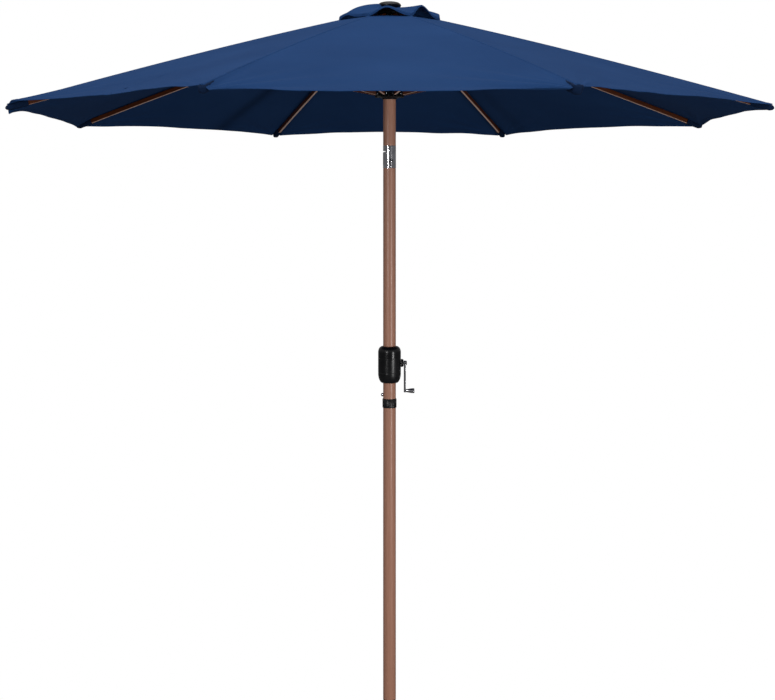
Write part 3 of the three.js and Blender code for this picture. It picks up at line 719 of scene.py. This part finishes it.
def canopy_sector(rib):
    """The cloth from the middle of one panel, over a rib, to the middle of the next."""
    from_hem = steps_from((0, 0.0012, 0.004, 0.009, *HEM_BAND, 0.018), FAR - NEAR, 1.16, 0.05)
    widest = FAR * math.tan(HALF_BAY)
    off = steps_from((0, 0.0020, *SEAM_WELT, 0.009), widest, 1.10, 0.022)
    offs = [-d for d in reversed(off[1:])] + off
    shape = (len(from_hem), len(offs))
    under, cut, edges = np.zeros((*shape, 3)), np.zeros((*shape, 2)), np.zeros((*shape, 2))
    thick = np.zeros(shape)
    for r, hem_distance in enumerate(from_hem):
        down = 1 - hem_distance / (FAR - NEAR)
        for c, offset in enumerate(offs):
            side = -1 if offset < 0 else 1
            bay = (rib - 1) % RIBS if side < 0 else rib
            out_vector, across = bay_frame(bay)
            ridge_out = NEAR + (FAR - NEAR) * down
            half = ridge_out * math.tan(HALF_BAY)
            # Far columns share out the panel's half width; near ones keep their distance from the seam.
            squeeze = (widest / half - 1) / widest
            toward_middle = min(abs(offset) / (1 + squeeze * abs(offset)) / half, 1)
            t = -side * (1 - toward_middle)
            arc_in = HEM_ARC.get(bay, USUAL_HEM_ARC) * (1 - (1 - toward_middle) ** 2)
            far = FAR - arc_in
            edge_gap = hem_distance
            if hem_distance >= STRAIGHT_HEM:
                shrink = (far - NEAR - STRAIGHT_HEM) / (FAR - NEAR - STRAIGHT_HEM)
                edge_gap = STRAIGHT_HEM + (hem_distance - STRAIGHT_HEM) * shrink
            out = far - edge_gap
            width = out * math.tan(HALF_BAY)
            z = panel_height(bay, t, out, edge_gap, max(0.0, (out - NEAR) / (far - NEAR)))
            point = out_vector * out + across * (t * width)
            from_rib = toward_middle * width
            welt = 0.0011 * (1 - smooth(from_rib, *SEAM_WELT))
            band = 0.0007 * (1 - smooth(edge_gap, *HEM_BAND))
            lip = 0.0006 * (1 - smooth(edge_gap, 0, 0.002))
            under[r, c] = (point.x, point.y, z - band * 0.4)
            thick[r, c] = CLOTH + welt + band * 1.4 - lip
            cut[r, c] = (bay * 0.37 + t * width, out / math.cos(RIB_SLOPE))
            edges[r, c] = (edge_gap, from_rib)
    piece = thin_sheet(f"canopy_cloth_{rib + 1}", under, thick, cut, edges, navy)
    return piece, flat_area(under), widest


def flatten(piece):
    """Gives a stretch of cloth its own copy of its mesh."""
    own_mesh(piece)


def add_canopy():
    for rib in range(RIBS):
        piece, area, half = canopy_sector(rib)
        body = f"rib_{rib + 1}"
        stand_in(piece, body, "canopy_cloth", f"canopy_panel_{rib + 1}")
        flatten(piece)


def vent_edge():
    """The height of the vent cap's corners, just above the canopy."""
    return ridge_height(VENT_R) + 0.016


# How far the vent cap's hem arches up from the canopy in each bay, and where along the bay it is highest.
ARCH = {7: (0.024, -0.15), 0: (0.031, -0.25), 6: (0.008, -0.5), 5: (0.011, 0.1)}
USUAL_ARCH = (0.020, 0.0)
# How far the cap's loose cloth billows up inside its hem, in each bay.
BILLOW = {6: 0.018, 4: 0.014, 5: 0.010, 0: 0.003, 1: 0.008, 2: 0.009}
USUAL_BILLOW = 0.005
VENT_MIDDLE = 0.010


def vent_point(bay, t, ridge_r):
    """A point of the vent cap's underside, at a radius measured along its ridges."""
    share = min(max((ridge_r - VENT_MIDDLE) / (VENT_R - VENT_MIDDLE), 0), 1)
    z = VENT_TOP - (VENT_TOP - vent_edge()) * share ** 1.9
    tall, peak = ARCH.get(bay, USUAL_ARCH)
    lean = t - peak * (1 - t * t)
    lift = math.cos(math.pi / 2 * min(max(lean, -1), 1)) ** 2
    z += tall * lift * share ** 2.6
    z += BILLOW.get(bay, USUAL_BILLOW) * lift ** 0.7 * (1 - share ** 6) * smooth(share, 0.02, 0.25)
    out = ridge_r * math.cos(HALF_BAY)
    across_by = t * out * math.tan(HALF_BAY)
    fold = noise.noise(Vector((bay * 5.1, across_by * 22, ridge_r * 8)))
    z += 0.0035 * fold * share ** 1.5 * (1 - abs(t) ** 4)
    out_vector, across = bay_frame(bay)
    point = out_vector * out + across * across_by
    return Vector((point.x, point.y, z)), lift


def vent_wedge(name, rib, radii, band):
    """One stretch of the vent cap from mid-bay to mid-bay, over a rib, with a turned-down band or none."""
    half_columns = 16
    columns = 2 * half_columns + 1
    drops = (0.0, 0.12, 0.3, 0.6, 1.0) if band else ()
    rows = [(r, 0.0) for r in radii] + [(radii[-1], d) for d in drops[1:]]
    shape = (len(rows), columns)
    under, cut, edges = np.zeros((*shape, 3)), np.zeros((*shape, 2)), np.zeros((*shape, 2))
    for k, (ridge_r, drop) in enumerate(rows):
        for c in range(columns):
            step = (c - half_columns) / half_columns
            bay = (rib - 1) % RIBS if step < 0 else rib
            toward_middle = abs(step) ** 1.15
            t = (1 - toward_middle) * (1 if step < 0 else -1)
            point, lift = vent_point(bay, t, ridge_r)
            tall = 0.011 - 0.006 * lift
            outward = Vector((point.x, point.y, 0)).normalized()
            point += outward * 0.0022 * math.sin(math.pi / 2 * drop)
            point.z -= tall * drop
            under[k, c] = point
            from_hem = VENT_R - ridge_r + (1 - drop) * tall
            half = ridge_r * math.sin(HALF_BAY)
            cut[k, c] = (bay * 0.61 + t * half, ridge_r - drop * tall)
            edges[k, c] = (from_hem + 0.007, toward_middle * half)
    under, cut, edges = under[::-1].copy(), cut[::-1].copy(), edges[::-1].copy()
    piece = thin_sheet(name, under, np.full(shape, CLOTH), cut, edges, navy)
    return piece, flat_area(under)


def add_vent_cap():
    """The cap's outer ring, which folds with the ribs, and its crown, which joins it to the mast."""
    outer = [CROWN_R + (VENT_R - CROWN_R) * k / 18 for k in range(19)]
    inner = [VENT_MIDDLE + (CROWN_R - VENT_MIDDLE) * k / 12 for k in range(13)]
    for rib in range(RIBS):
        angle = rib_angle(rib)
        ray = Vector((math.cos(angle), math.sin(angle), 0))
        body = f"rib_{rib + 1}"
        piece, area = vent_wedge(f"vent_cap_{rib + 1}", rib, outer, True)
        stand_in(piece, body, "canopy_cloth", "vent_cap")
        flatten(piece)

        crown, area = vent_wedge(f"vent_crown_{rib + 1}", rib, inner, False)
        inside, outside = ray * 0.040, ray * (CROWN_R + 0.002)
        inside.z = outside.z = VENT_TOP
        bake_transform(crown)
        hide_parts("vent_cap")


def spoke(angle, radius, height, slope=0.0):
    """The placing of a piece made along +X in a rib's own frame."""
    return (Matrix.Rotation(angle, 4, "Z") @ Matrix.Translation((radius, 0, height))
            @ Matrix.Rotation(slope, 4, "Y"))


# How much bigger and looser a tip's pocket is than the others, and how far it hangs.
BUNCH = {0: (1.42, 0.006), 7: (1.15, 0.004)}
USUAL_BUNCH = (1.0, 0.0)


def pocket(rib):
    """The sleeve of cloth under a panel's corner that takes the rib's end."""
    rings, around = 34, 36
    bigger, hang = BUNCH.get(rib, USUAL_BUNCH)
    start = RIB_LENGTH - POCKET_LENGTH * (1 + 0.15 * (bigger - 1))
    end = RIB_LENGTH + 0.016
    points, cut, edges = [], [], []
    for k in range(rings + 1):
        share = k / rings
        along = start + (end - start) * share
        tall = 0.0118 - 0.0022 * share
        wide = 0.0088 + 0.0030 * share
        nose = 1 - 0.45 * smooth(share, 0.80, 1.0) - 0.52 * smooth(share, 0.95, 1.0)
        grow = 1 + (bigger - 1) * smooth(share, 0, 0.35)
        for j in range(around):
            a = math.tau * j / around
            square = 1 / (abs(math.cos(a)) ** 3 + abs(math.sin(a)) ** 3) ** (1 / 3)
            wrinkle = noise.noise(Vector((along * 60 + rib * 3, 1.6 * math.cos(a), 1.6 * math.sin(a))))
            pleat = 0.5 * noise.noise(Vector((along * 24, 4 * math.cos(a) + rib, 4 * math.sin(a))))
            r = square * nose * (1 + (0.09 + 0.10 * (bigger - 1)) * (wrinkle + pleat)) * grow
            y = wide * r * math.cos(a)
            z = tall * r * math.sin(a)
            z = min(z, RIB_TALL / 2 + 0.0006) - hang * share * (1 - math.sin(a)) / 2
            points.append((along, y, z + bow(along)))
            cut.append((a * 0.011, along))
            edges.append((along - start, 0.05))
    faces = []
    for k in range(rings):
        for j in range(around):
            nxt = (j + 1) % around
            a, b = k * around + j, k * around + nxt
            faces.append((a, b, b + around, a + around))
    faces.append(tuple(rings * around + j for j in range(around)))
    mesh = mesh_of(f"tip_pocket_{rib + 1}", points, faces, pocket_navy_painted_shade)
    add_maps(mesh, cut=cut, edges=edges)
    piece = link(mesh.name, mesh)
    piece.matrix_world = spoke(rib_angle(rib), HUB_PIN_R, HUB_PIN_Z, RIB_SLOPE)
    wall = piece.modifiers.new("wall", "SOLIDIFY")
    wall.thickness = 0.001
    wall.offset = -1
    return piece, math.tau * 0.0115 * bigger * 1.05, end - start


def add_pockets():
    for rib in range(RIBS):
        piece, girth, length = pocket(rib)
        body = f"rib_{rib + 1}"
        stand_in(piece, body, "canopy_cloth")


# ---- frame ----

BRACKET_AT = 0.560
BRACKET_DROP = 0.0165
STRUT_WIDE = 0.008


def applied(piece):
    """The mesh a piece's modifiers give."""
    graph = bpy.context.evaluated_depsgraph_get()
    mesh = bpy.data.meshes.new_from_object(piece.evaluated_get(graph), depsgraph=graph)
    bpy.data.objects.remove(piece)
    return mesh


def carved(piece, *cutters):
    """Cuts other pieces out of a piece, and drops them."""
    for cutter in cutters:
        cut = piece.modifiers.new("cut", "BOOLEAN")
        cut.operation = "DIFFERENCE"
        cut.solver = "EXACT"
        cut.object = cutter
    name = piece.name
    mesh = applied(piece)
    for cutter in cutters:
        bpy.data.objects.remove(cutter)
    mesh.polygons.foreach_set("use_smooth", [True] * len(mesh.polygons))
    return link(name, mesh)


def rib_mesh():
    """A rib along +X from its hub pin, with a slim eye and a slight upward bow."""
    eye, start, steps = 0.006, 0.030, 24
    stations = [start + (RIB_LENGTH - start) * k / steps for k in range(steps + 1)]
    under = [(x, bow(x) - RIB_TALL / 2) for x in stations]
    over = [(x, bow(x) + RIB_TALL / 2) for x in reversed(stations)]
    outline = arc(0, 0, eye, eye, 90, 270, 10) + under + over
    bar = rounded(extruded("rib_bar", outline, RIB_WIDE, wood_rib_painted_light), 0.0034, 4)
    return applied(bar)


def bracket_mesh():
    """Two cheek plates with a domed pin, and a rivet through the rib above."""
    middle = bow(BRACKET_AT)
    pin_z = middle - BRACKET_DROP
    outline = arc(BRACKET_AT, pin_z, 0.0064, 0.0064, 180, 360, 12)
    outline += [(BRACKET_AT + 0.014, middle - 0.001), (BRACKET_AT + 0.014, middle + 0.0062)]
    outline += [(BRACKET_AT - 0.014, middle + 0.0062), (BRACKET_AT - 0.014, middle - 0.001)]
    parts = []
    for side in (-1, 1):
        plate = extruded("cheek", outline, 0.0018, zinc)
        plate.data.transform(Matrix.Translation((0, side * 0.0060, 0)))
        parts.append(rounded(plate, 0.0004, 2))
    for z in (pin_z, middle + 0.001):
        pin = headed_pin("pin", 0.0020, 0.0069, 0.0034, zinc)
        pin.data.transform(Matrix.Translation((BRACKET_AT, 0, z)) @ QUARTER_X)
        parts.append(pin)
    piece = joined("bracket", parts)
    mesh = piece.data
    bpy.data.objects.remove(piece)
    return mesh


def headed_pin(name, radius, half, head_r, material):
    """A pin along Z with a domed head at each end."""
    tall = head_r * 0.45
    profile = [(0, -half - tall)]
    profile += [(head_r * math.sin(a), -half - tall * math.cos(a)) for a in (0.35, 0.7, 1.05, 1.35)]
    profile += [(head_r, -half), (radius, -half), (radius, half), (head_r, half)]
    profile += [(head_r * math.sin(a), half + tall * math.cos(a)) for a in (1.35, 1.05, 0.7, 0.35)]
    profile += [(0, half + tall)]
    return lathe(name, profile, material, sides=20)


def strut_mesh(length):
    """A strut along +X from its runner pin: a channel open along the top, with solid ends."""
    end, wall, solid = 0.006, 0.0012, 0.016
    outline = arc(0, 0, end, end, 90, 270, 10) + arc(length, 0, end, end, -90, 90, 10)
    bar = extruded("strut_bar", outline, STRUT_WIDE, wood_rib_painted_light)
    low, high = wall - end, 0.02
    trough = [(solid, low), (length - solid, low), (length - solid, high), (solid, high)]
    cutter = extruded("strut_trough", trough, STRUT_WIDE - 2 * wall, wood_rib_painted_light)
    return applied(rounded(carved(bar, cutter), 0.0009, 2))


def add_ribs_and_struts():
    """The eight ribs with their brackets, and the eight struts that push them up."""
    rib, bracket = rib_mesh(), bracket_mesh()
    run, rise = BRACKET_PIN_R - RUNNER_PIN_R, BRACKET_PIN_Z - RUNNER_PIN_Z
    strut = strut_mesh(math.hypot(run, rise))
    for k in range(RIBS):
        body = f"rib_{k + 1}"
        bar = link(f"rib_bar_{k + 1}", rib)
        place = spoke(rib_angle(k), HUB_PIN_R, HUB_PIN_Z, RIB_SLOPE)
        bar.matrix_world = place
        stand_in(bar, body, "wood_tone_tube", body)
        plates = link(f"rib_bracket_{k + 1}", bracket)
        plates.matrix_world = place
        stand_in(plates, body, "dull_zinc")
        arm = link(f"strut_bar_{k + 1}", strut)
        arm.matrix_world = spoke(rib_angle(k), RUNNER_PIN_R, RUNNER_PIN_Z, -math.atan2(rise, run))
        stand_in(arm, f"strut_{k + 1}", "wood_tone_tube", f"strut_{k + 1}")


def add_ring_of_pins(name, radius, height, half, body):
    """The hinge pins of the eight ribs or struts, with their heads showing beside the ears."""
    parts = []
    for k in range(RIBS):
        pin = headed_pin("pin", 0.0019, half, 0.0034, plated)
        pin.data.transform(spoke(rib_angle(k), radius, height) @ QUARTER_X)
        parts.append(pin)
    stand_in(joined(name, parts), body, "bright_plate")


# ---- pole, crank and tilt ----

POLE_R = 0.02225
POLE_BORE = 0.02125
TUBE_SHADE = 90
MAST_LOW = 1.9363
MAST_HIGH = 2.404


def mm(profile):
    """A profile or outline given in millimetres."""
    return [(a * MM, b * MM) for a, b in profile]


def tube(name, low, high):
    """A length of the wood-tone tube, between two heights."""
    edge = 0.0003
    profile = [(POLE_BORE, low), (POLE_R - edge, low), (POLE_R, low + edge)]
    profile += [(POLE_R, high - edge), (POLE_R - edge, high), (POLE_BORE, high)]
    return shaded(lathe(name, profile, wood_pole, sides=96), TUBE_SHADE)


def rod_along(axis, radius, start, end, at):
    """A plain rod along X or Y, as a cutter or a post."""
    rod = lathe("rod", [(0, start), (radius, start), (radius, end), (0, end)], black_plastic, sides=32)
    turn = QUARTER_Y if axis == "X" else Matrix.Rotation(-math.pi / 2, 4, "X")
    rod.data.transform(Matrix.Translation(at) @ turn)
    return rod


def middle_height(node):
    low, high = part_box(node)
    return (low.z + high.z) / 2


def add_pole():
    low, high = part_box("lower_pole"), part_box("upper_pole")
    stand_in(tube("pole_lower", low[0].z, low[1].z), "root", "wood_tone_tube", "lower_pole")
    upper = tube("pole_upper", high[0].z, high[1].z)
    snap_hole = rod_along("X", 0.0064, -0.04, 0, (0, 0, middle_height("snap_button")))
    shaft_hole = rod_along("X", 0.0044, 0, 0.04, (0, 0, CRANK_Z))
    upper = shaded(carved(upper, snap_hole, shaft_hole), TUBE_SHADE)
    stand_in(upper, "root", "wood_tone_tube", "upper_pole")
    mast = tube("mast_tube", MAST_LOW, MAST_HIGH)
    slot_low, slot_high = 2.337, 2.363
    outline = [(0.010, slot_low), (0.040, slot_low), (0.040, slot_high), (0.010, slot_high)]
    slot = extruded("slot", outline, 0.0092, wood_pole)
    mast = shaded(carved(mast, slot), TUBE_SHADE)
    stand_in(mast, "top_mast", "wood_tone_tube", "top_mast")

    def fluted(a, r, _):
        """Shallow grooves round the collar's widest part."""
        return r - (0.00045 * max(math.cos(30 * a), 0) ** 8 if r > 0.0243 else 0)

    profile = [(22.55, 1021.5), (23.2, 1021.5)] + arc(23.2, 1022.9, 1.4, 1.4, -90, 0, 5)
    profile += [(24.6, 1050.0), (24.0, 1050.6), (24.0, 1051.0)] + arc(23.0, 1051.8, 1.2, 1.2, 0, 90, 5)
    profile += [(22.55, 1053)]
    collar = lathe("pole_collar", mm(profile), matt_black, sides=240, dent=fluted)
    stand_in(collar, "root", "black_plastic", "joint_collar")


def add_snap_button():
    """The domed button that pokes out of the pole on the side away from the crank."""
    reach, r = 29.9, 6.0
    profile = [(0, -15.6), (7.4, -15.6), (7.4, -17.2), (r, -17.2), (r, -25.4)]
    profile += [(r * math.cos(a), -25.4 - 4.5 * math.sin(a)) for a in (0.3, 0.6, 0.9, 1.2, 1.4)]
    profile += [(0, -reach)]
    button = lathe("snap_dome", mm(profile), plated, sides=40)
    along_x(button, (0, 0, middle_height("snap_button")))
    stand_in(button, "snap_button", "bright_plate", "snap_button")


# The barrel's lower shoulder is a quarter of an ellipse. In millimetres.
SHOULDER_R, SHOULDER_Z = 24.6, 1142
SHOULDER_WIDE, SHOULDER_TALL = 15.2, 34


def housing_profile():
    """Closed outline of the housing's wall: a barrel with rounded shoulders and two fine grooves."""
    outer = arc(SHOULDER_R, SHOULDER_Z, SHOULDER_WIDE, SHOULDER_TALL, -90, -3, 18)
    for z in (1144.0, 1194.0):
        outer += [(39.8, z - 0.9), (39.1, z - 0.5), (39.1, z + 0.5), (39.8, z + 0.9)]
    outer += arc(25, 1215, 14.8, 21, 3, 90, 16)
    lip = [(24.2, 1236), (23.4, 1235.4), (22.6, 1235.0)]
    inner = [(22.6, 1227)] + arc(24, 1211, 11.8, 16, 90, 0, 8) + arc(24, 1144, 11.8, 27, 0, -90, 8)
    foot = [(22.6, 1117), (22.6, 1109), (23.4, 1108.6), (24.2, 1108)]
    return mm(outer + lip + inner + foot)


def add_housing():
    """The crank housing's two shells, with a fine seam between them."""
    seam = 0.0035
    sweep = math.pi - 2 * seam
    front = lathe("housing_front", housing_profile(), black_plastic, 72, math.pi + seam, sweep)
    back = lathe("housing_back", housing_profile(), black_plastic, 72, seam, sweep)
    screws = [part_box(f"housing_screw_{end}") for end in ("lower", "upper")]
    places = [((low.x + high.x) / 2, 0, (low.z + high.z) / 2) for low, high in screws]
    back = carved(back, *[rod_along("Y", 0.0036, 0.018, 0.05, at) for at in places])
    posts = [rod_along("Y", 0.0050, 0.0003, 0.0183, at) for at in places]
    grips = [moulded_grip(k) for k in range(3)]
    for shell, node in ((joined("housing_shell_front", [front, *grips]), "crank_housing_front"),
                        (joined("housing_shell_back", [back, *posts]), "crank_housing_back")):
        stand_in(shaded(shell, 60), "root", "black_plastic", node)


def moulded_grip(k):
    """One of three short raised bars on the housing's lower shoulder, beside the crank."""
    z = 1122 + 5.2 * k
    slope = math.asin(min((SHOULDER_Z - z) / SHOULDER_TALL, 1))
    r = SHOULDER_R + SHOULDER_WIDE * math.cos(slope) + 0.2
    profile = [(-1.6, -1.3), (0.1, -1.2), (0.7, 0), (0.6, 1.2), (-1.6, 1.3)]
    profile = mm([(r + out, z + up) for out, up in profile])
    return lathe("grip", profile, black_plastic, 12, math.radians(-58), math.radians(26))


def add_crank():
    boss = [(4.3, 40.1), (13.2, 40.1), (14, 40.8), (14, 43.6)] + arc(9, 43.6, 5, 5.6, 8, 90, 8)
    boss += [(4.3, 49.5)]
    piece = along_x(lathe("crank_hub", mm(boss), black_plastic, sides=48), (0, 0, CRANK_Z))
    stand_in(piece, "crank", "black_plastic", "crank_boss")

    cap = [(4.3, 57.3), (7.6, 57.3)] + arc(5, 58.2, 2.6, 2.5, 0, 80, 6) + [(0, 60.9), (0, 59), (4.3, 59)]
    piece = along_x(lathe("crank_cap_dome", mm(cap), black_plastic, sides=36), (0, 0, CRANK_Z))
    stand_in(piece, "crank", "black_plastic", "crank_cap")

    arm_face = 57.3
    knob = [(2.2, 0), (4.6, 0), (5.4, 0.8), (5.6, 2.0), (5.2, 3.0), (5.6, 4.2), (7.2, 12.0), (8.3, 20.0)]
    knob += arc(5.8, 26.6, 2.8, 3.4, 0, 80, 8) + [(4.4, 30.0), (4.0, 29.4), (4.0, 25.7), (2.2, 25.7)]
    knob = [(r, arm_face + x) for r, x in knob]
    piece = along_x(lathe("crank_grip", mm(knob), plated, sides=40), (0, 0, KNOB_Z))
    stand_in(piece, "knob", "bright_plate", "crank_knob")


def add_tilt_details():
    """The tilt's button with its dark ring, and the domed ends of its pin. Its axis is the pin's."""
    facing = math.atan2(-TILT_AXIS.x, TILT_AXIS.y) + math.pi / 2
    if math.sin(facing) > 0:
        facing += math.pi
    button_z = middle_height("tilt_button")
    pin = headed_pin("tilt_rivet", 0.0029, 0.0228, 0.0040, plated)
    along_x(pin, (0, 0, TILT_Z), facing)
    stand_in(pin, "root", "dull_zinc", "tilt_pin")
    ring = [(5.15, 20.5), (7.3, 20.5), (7.3, 22.9), (6.7, 23.6), (5.7, 23.6), (5.15, 23.1)]
    bezel = along_x(lathe("button_ring", mm(ring), matt_black, sides=36), (0, 0, button_z), facing)
    stand_in(bezel, "root", "black_plastic")
    button = [(0, 11), (7, 11), (7, 13), (4.9, 13), (4.9, 23.2)]
    button += [(4.9 - 1.0 * (1 - math.cos(a)), 23.2 + 1.2 * math.sin(a)) for a in (0.5, 1.0, 1.4)]
    button += [(2.4, 24.6), (0, 24.7)]
    piece = along_x(lathe("tilt_push", mm(button), plated, sides=36), (0, 0, button_z), facing)
    stand_in(piece, "tilt_button", "bright_plate", "tilt_button")


def add_finial():
    low, high = 2418.5, 2440.0
    profile = [(0, low - 4), (9, low - 4), (9, low + 1), (34, low + 1.4), (38.4, low + 2.2)]
    profile += arc(35.2, low + 8.4, 5.4, 5.6, -60, 40, 10)
    profile += [(37.4, high - 7.2), (32.5, high - 3.9), (24, high - 1.6), (12, high - 0.3), (0, high)]
    cap = lathe("finial_cap", mm(profile), matt_black, sides=72)
    stand_in(cap, "top_mast", "black_plastic", "finial")


def refined(node, material, width):
    """Gives a CAD node its finish and rounds its hard edges."""
    mesh = node.data
    mesh.materials.clear()
    mesh.materials.append(material)
    with bpy.context.temp_override(object=node, active_object=node, selected_objects=[node]):
        bpy.ops.mesh.customdata_custom_splitnormals_clear()
    mesh.polygons.foreach_set("use_smooth", [True] * len(mesh.polygons))
    weld = node.modifiers.new("weld", "WELD")
    weld.merge_threshold = 1e-5
    if width:
        rounded(node, width)


# The CAD nodes that keep their own mesh: finish, rounding of hard edges, names.
CAD_FINISHES = (
    (zinc, 0, "joint_spigot", "pulley_axle", "finial_stud"),
    (zinc, 0.0003, "knob_pin"),
    (zinc, 0.0004, "housing_screw_lower", "housing_screw_upper", "crank_shaft"),
    (spring_steel, 0, "snap_spring", "tilt_button_spring"),
    (plated, 0.0005, "tilt_lower_sleeve", "tilt_upper_sleeve"),
    (plated, 0.0015, "crank_arm"),
    (grey_plastic, 0, "crank_bush"),
    (grey_plastic, 0.0004, "winding_drum", "cord_pulley"),
    (black_plastic, 0, "mast_top_plug"),
    (black_plastic, 0.0006, "top_hub"),
    (black_plastic, 0.0007, "runner"),
    (black_plastic, 0.0008, "pole_foot_plug", "hub_cover"),
)

add_canopy()
add_vent_cap()
add_pockets()
add_ribs_and_struts()
add_ring_of_pins("runner_pins", RUNNER_PIN_R, RUNNER_PIN_Z, 0.0086, "runner")
add_ring_of_pins("hub_pins", HUB_PIN_R, HUB_PIN_Z, 0.0089, "top_mast")
add_pole()
add_snap_button()
add_housing()
add_crank()
add_tilt_details()
add_finial()
for material, width, *names in CAD_FINISHES:
    for name in names:
        refined(frame["nodes"][name], material, width)
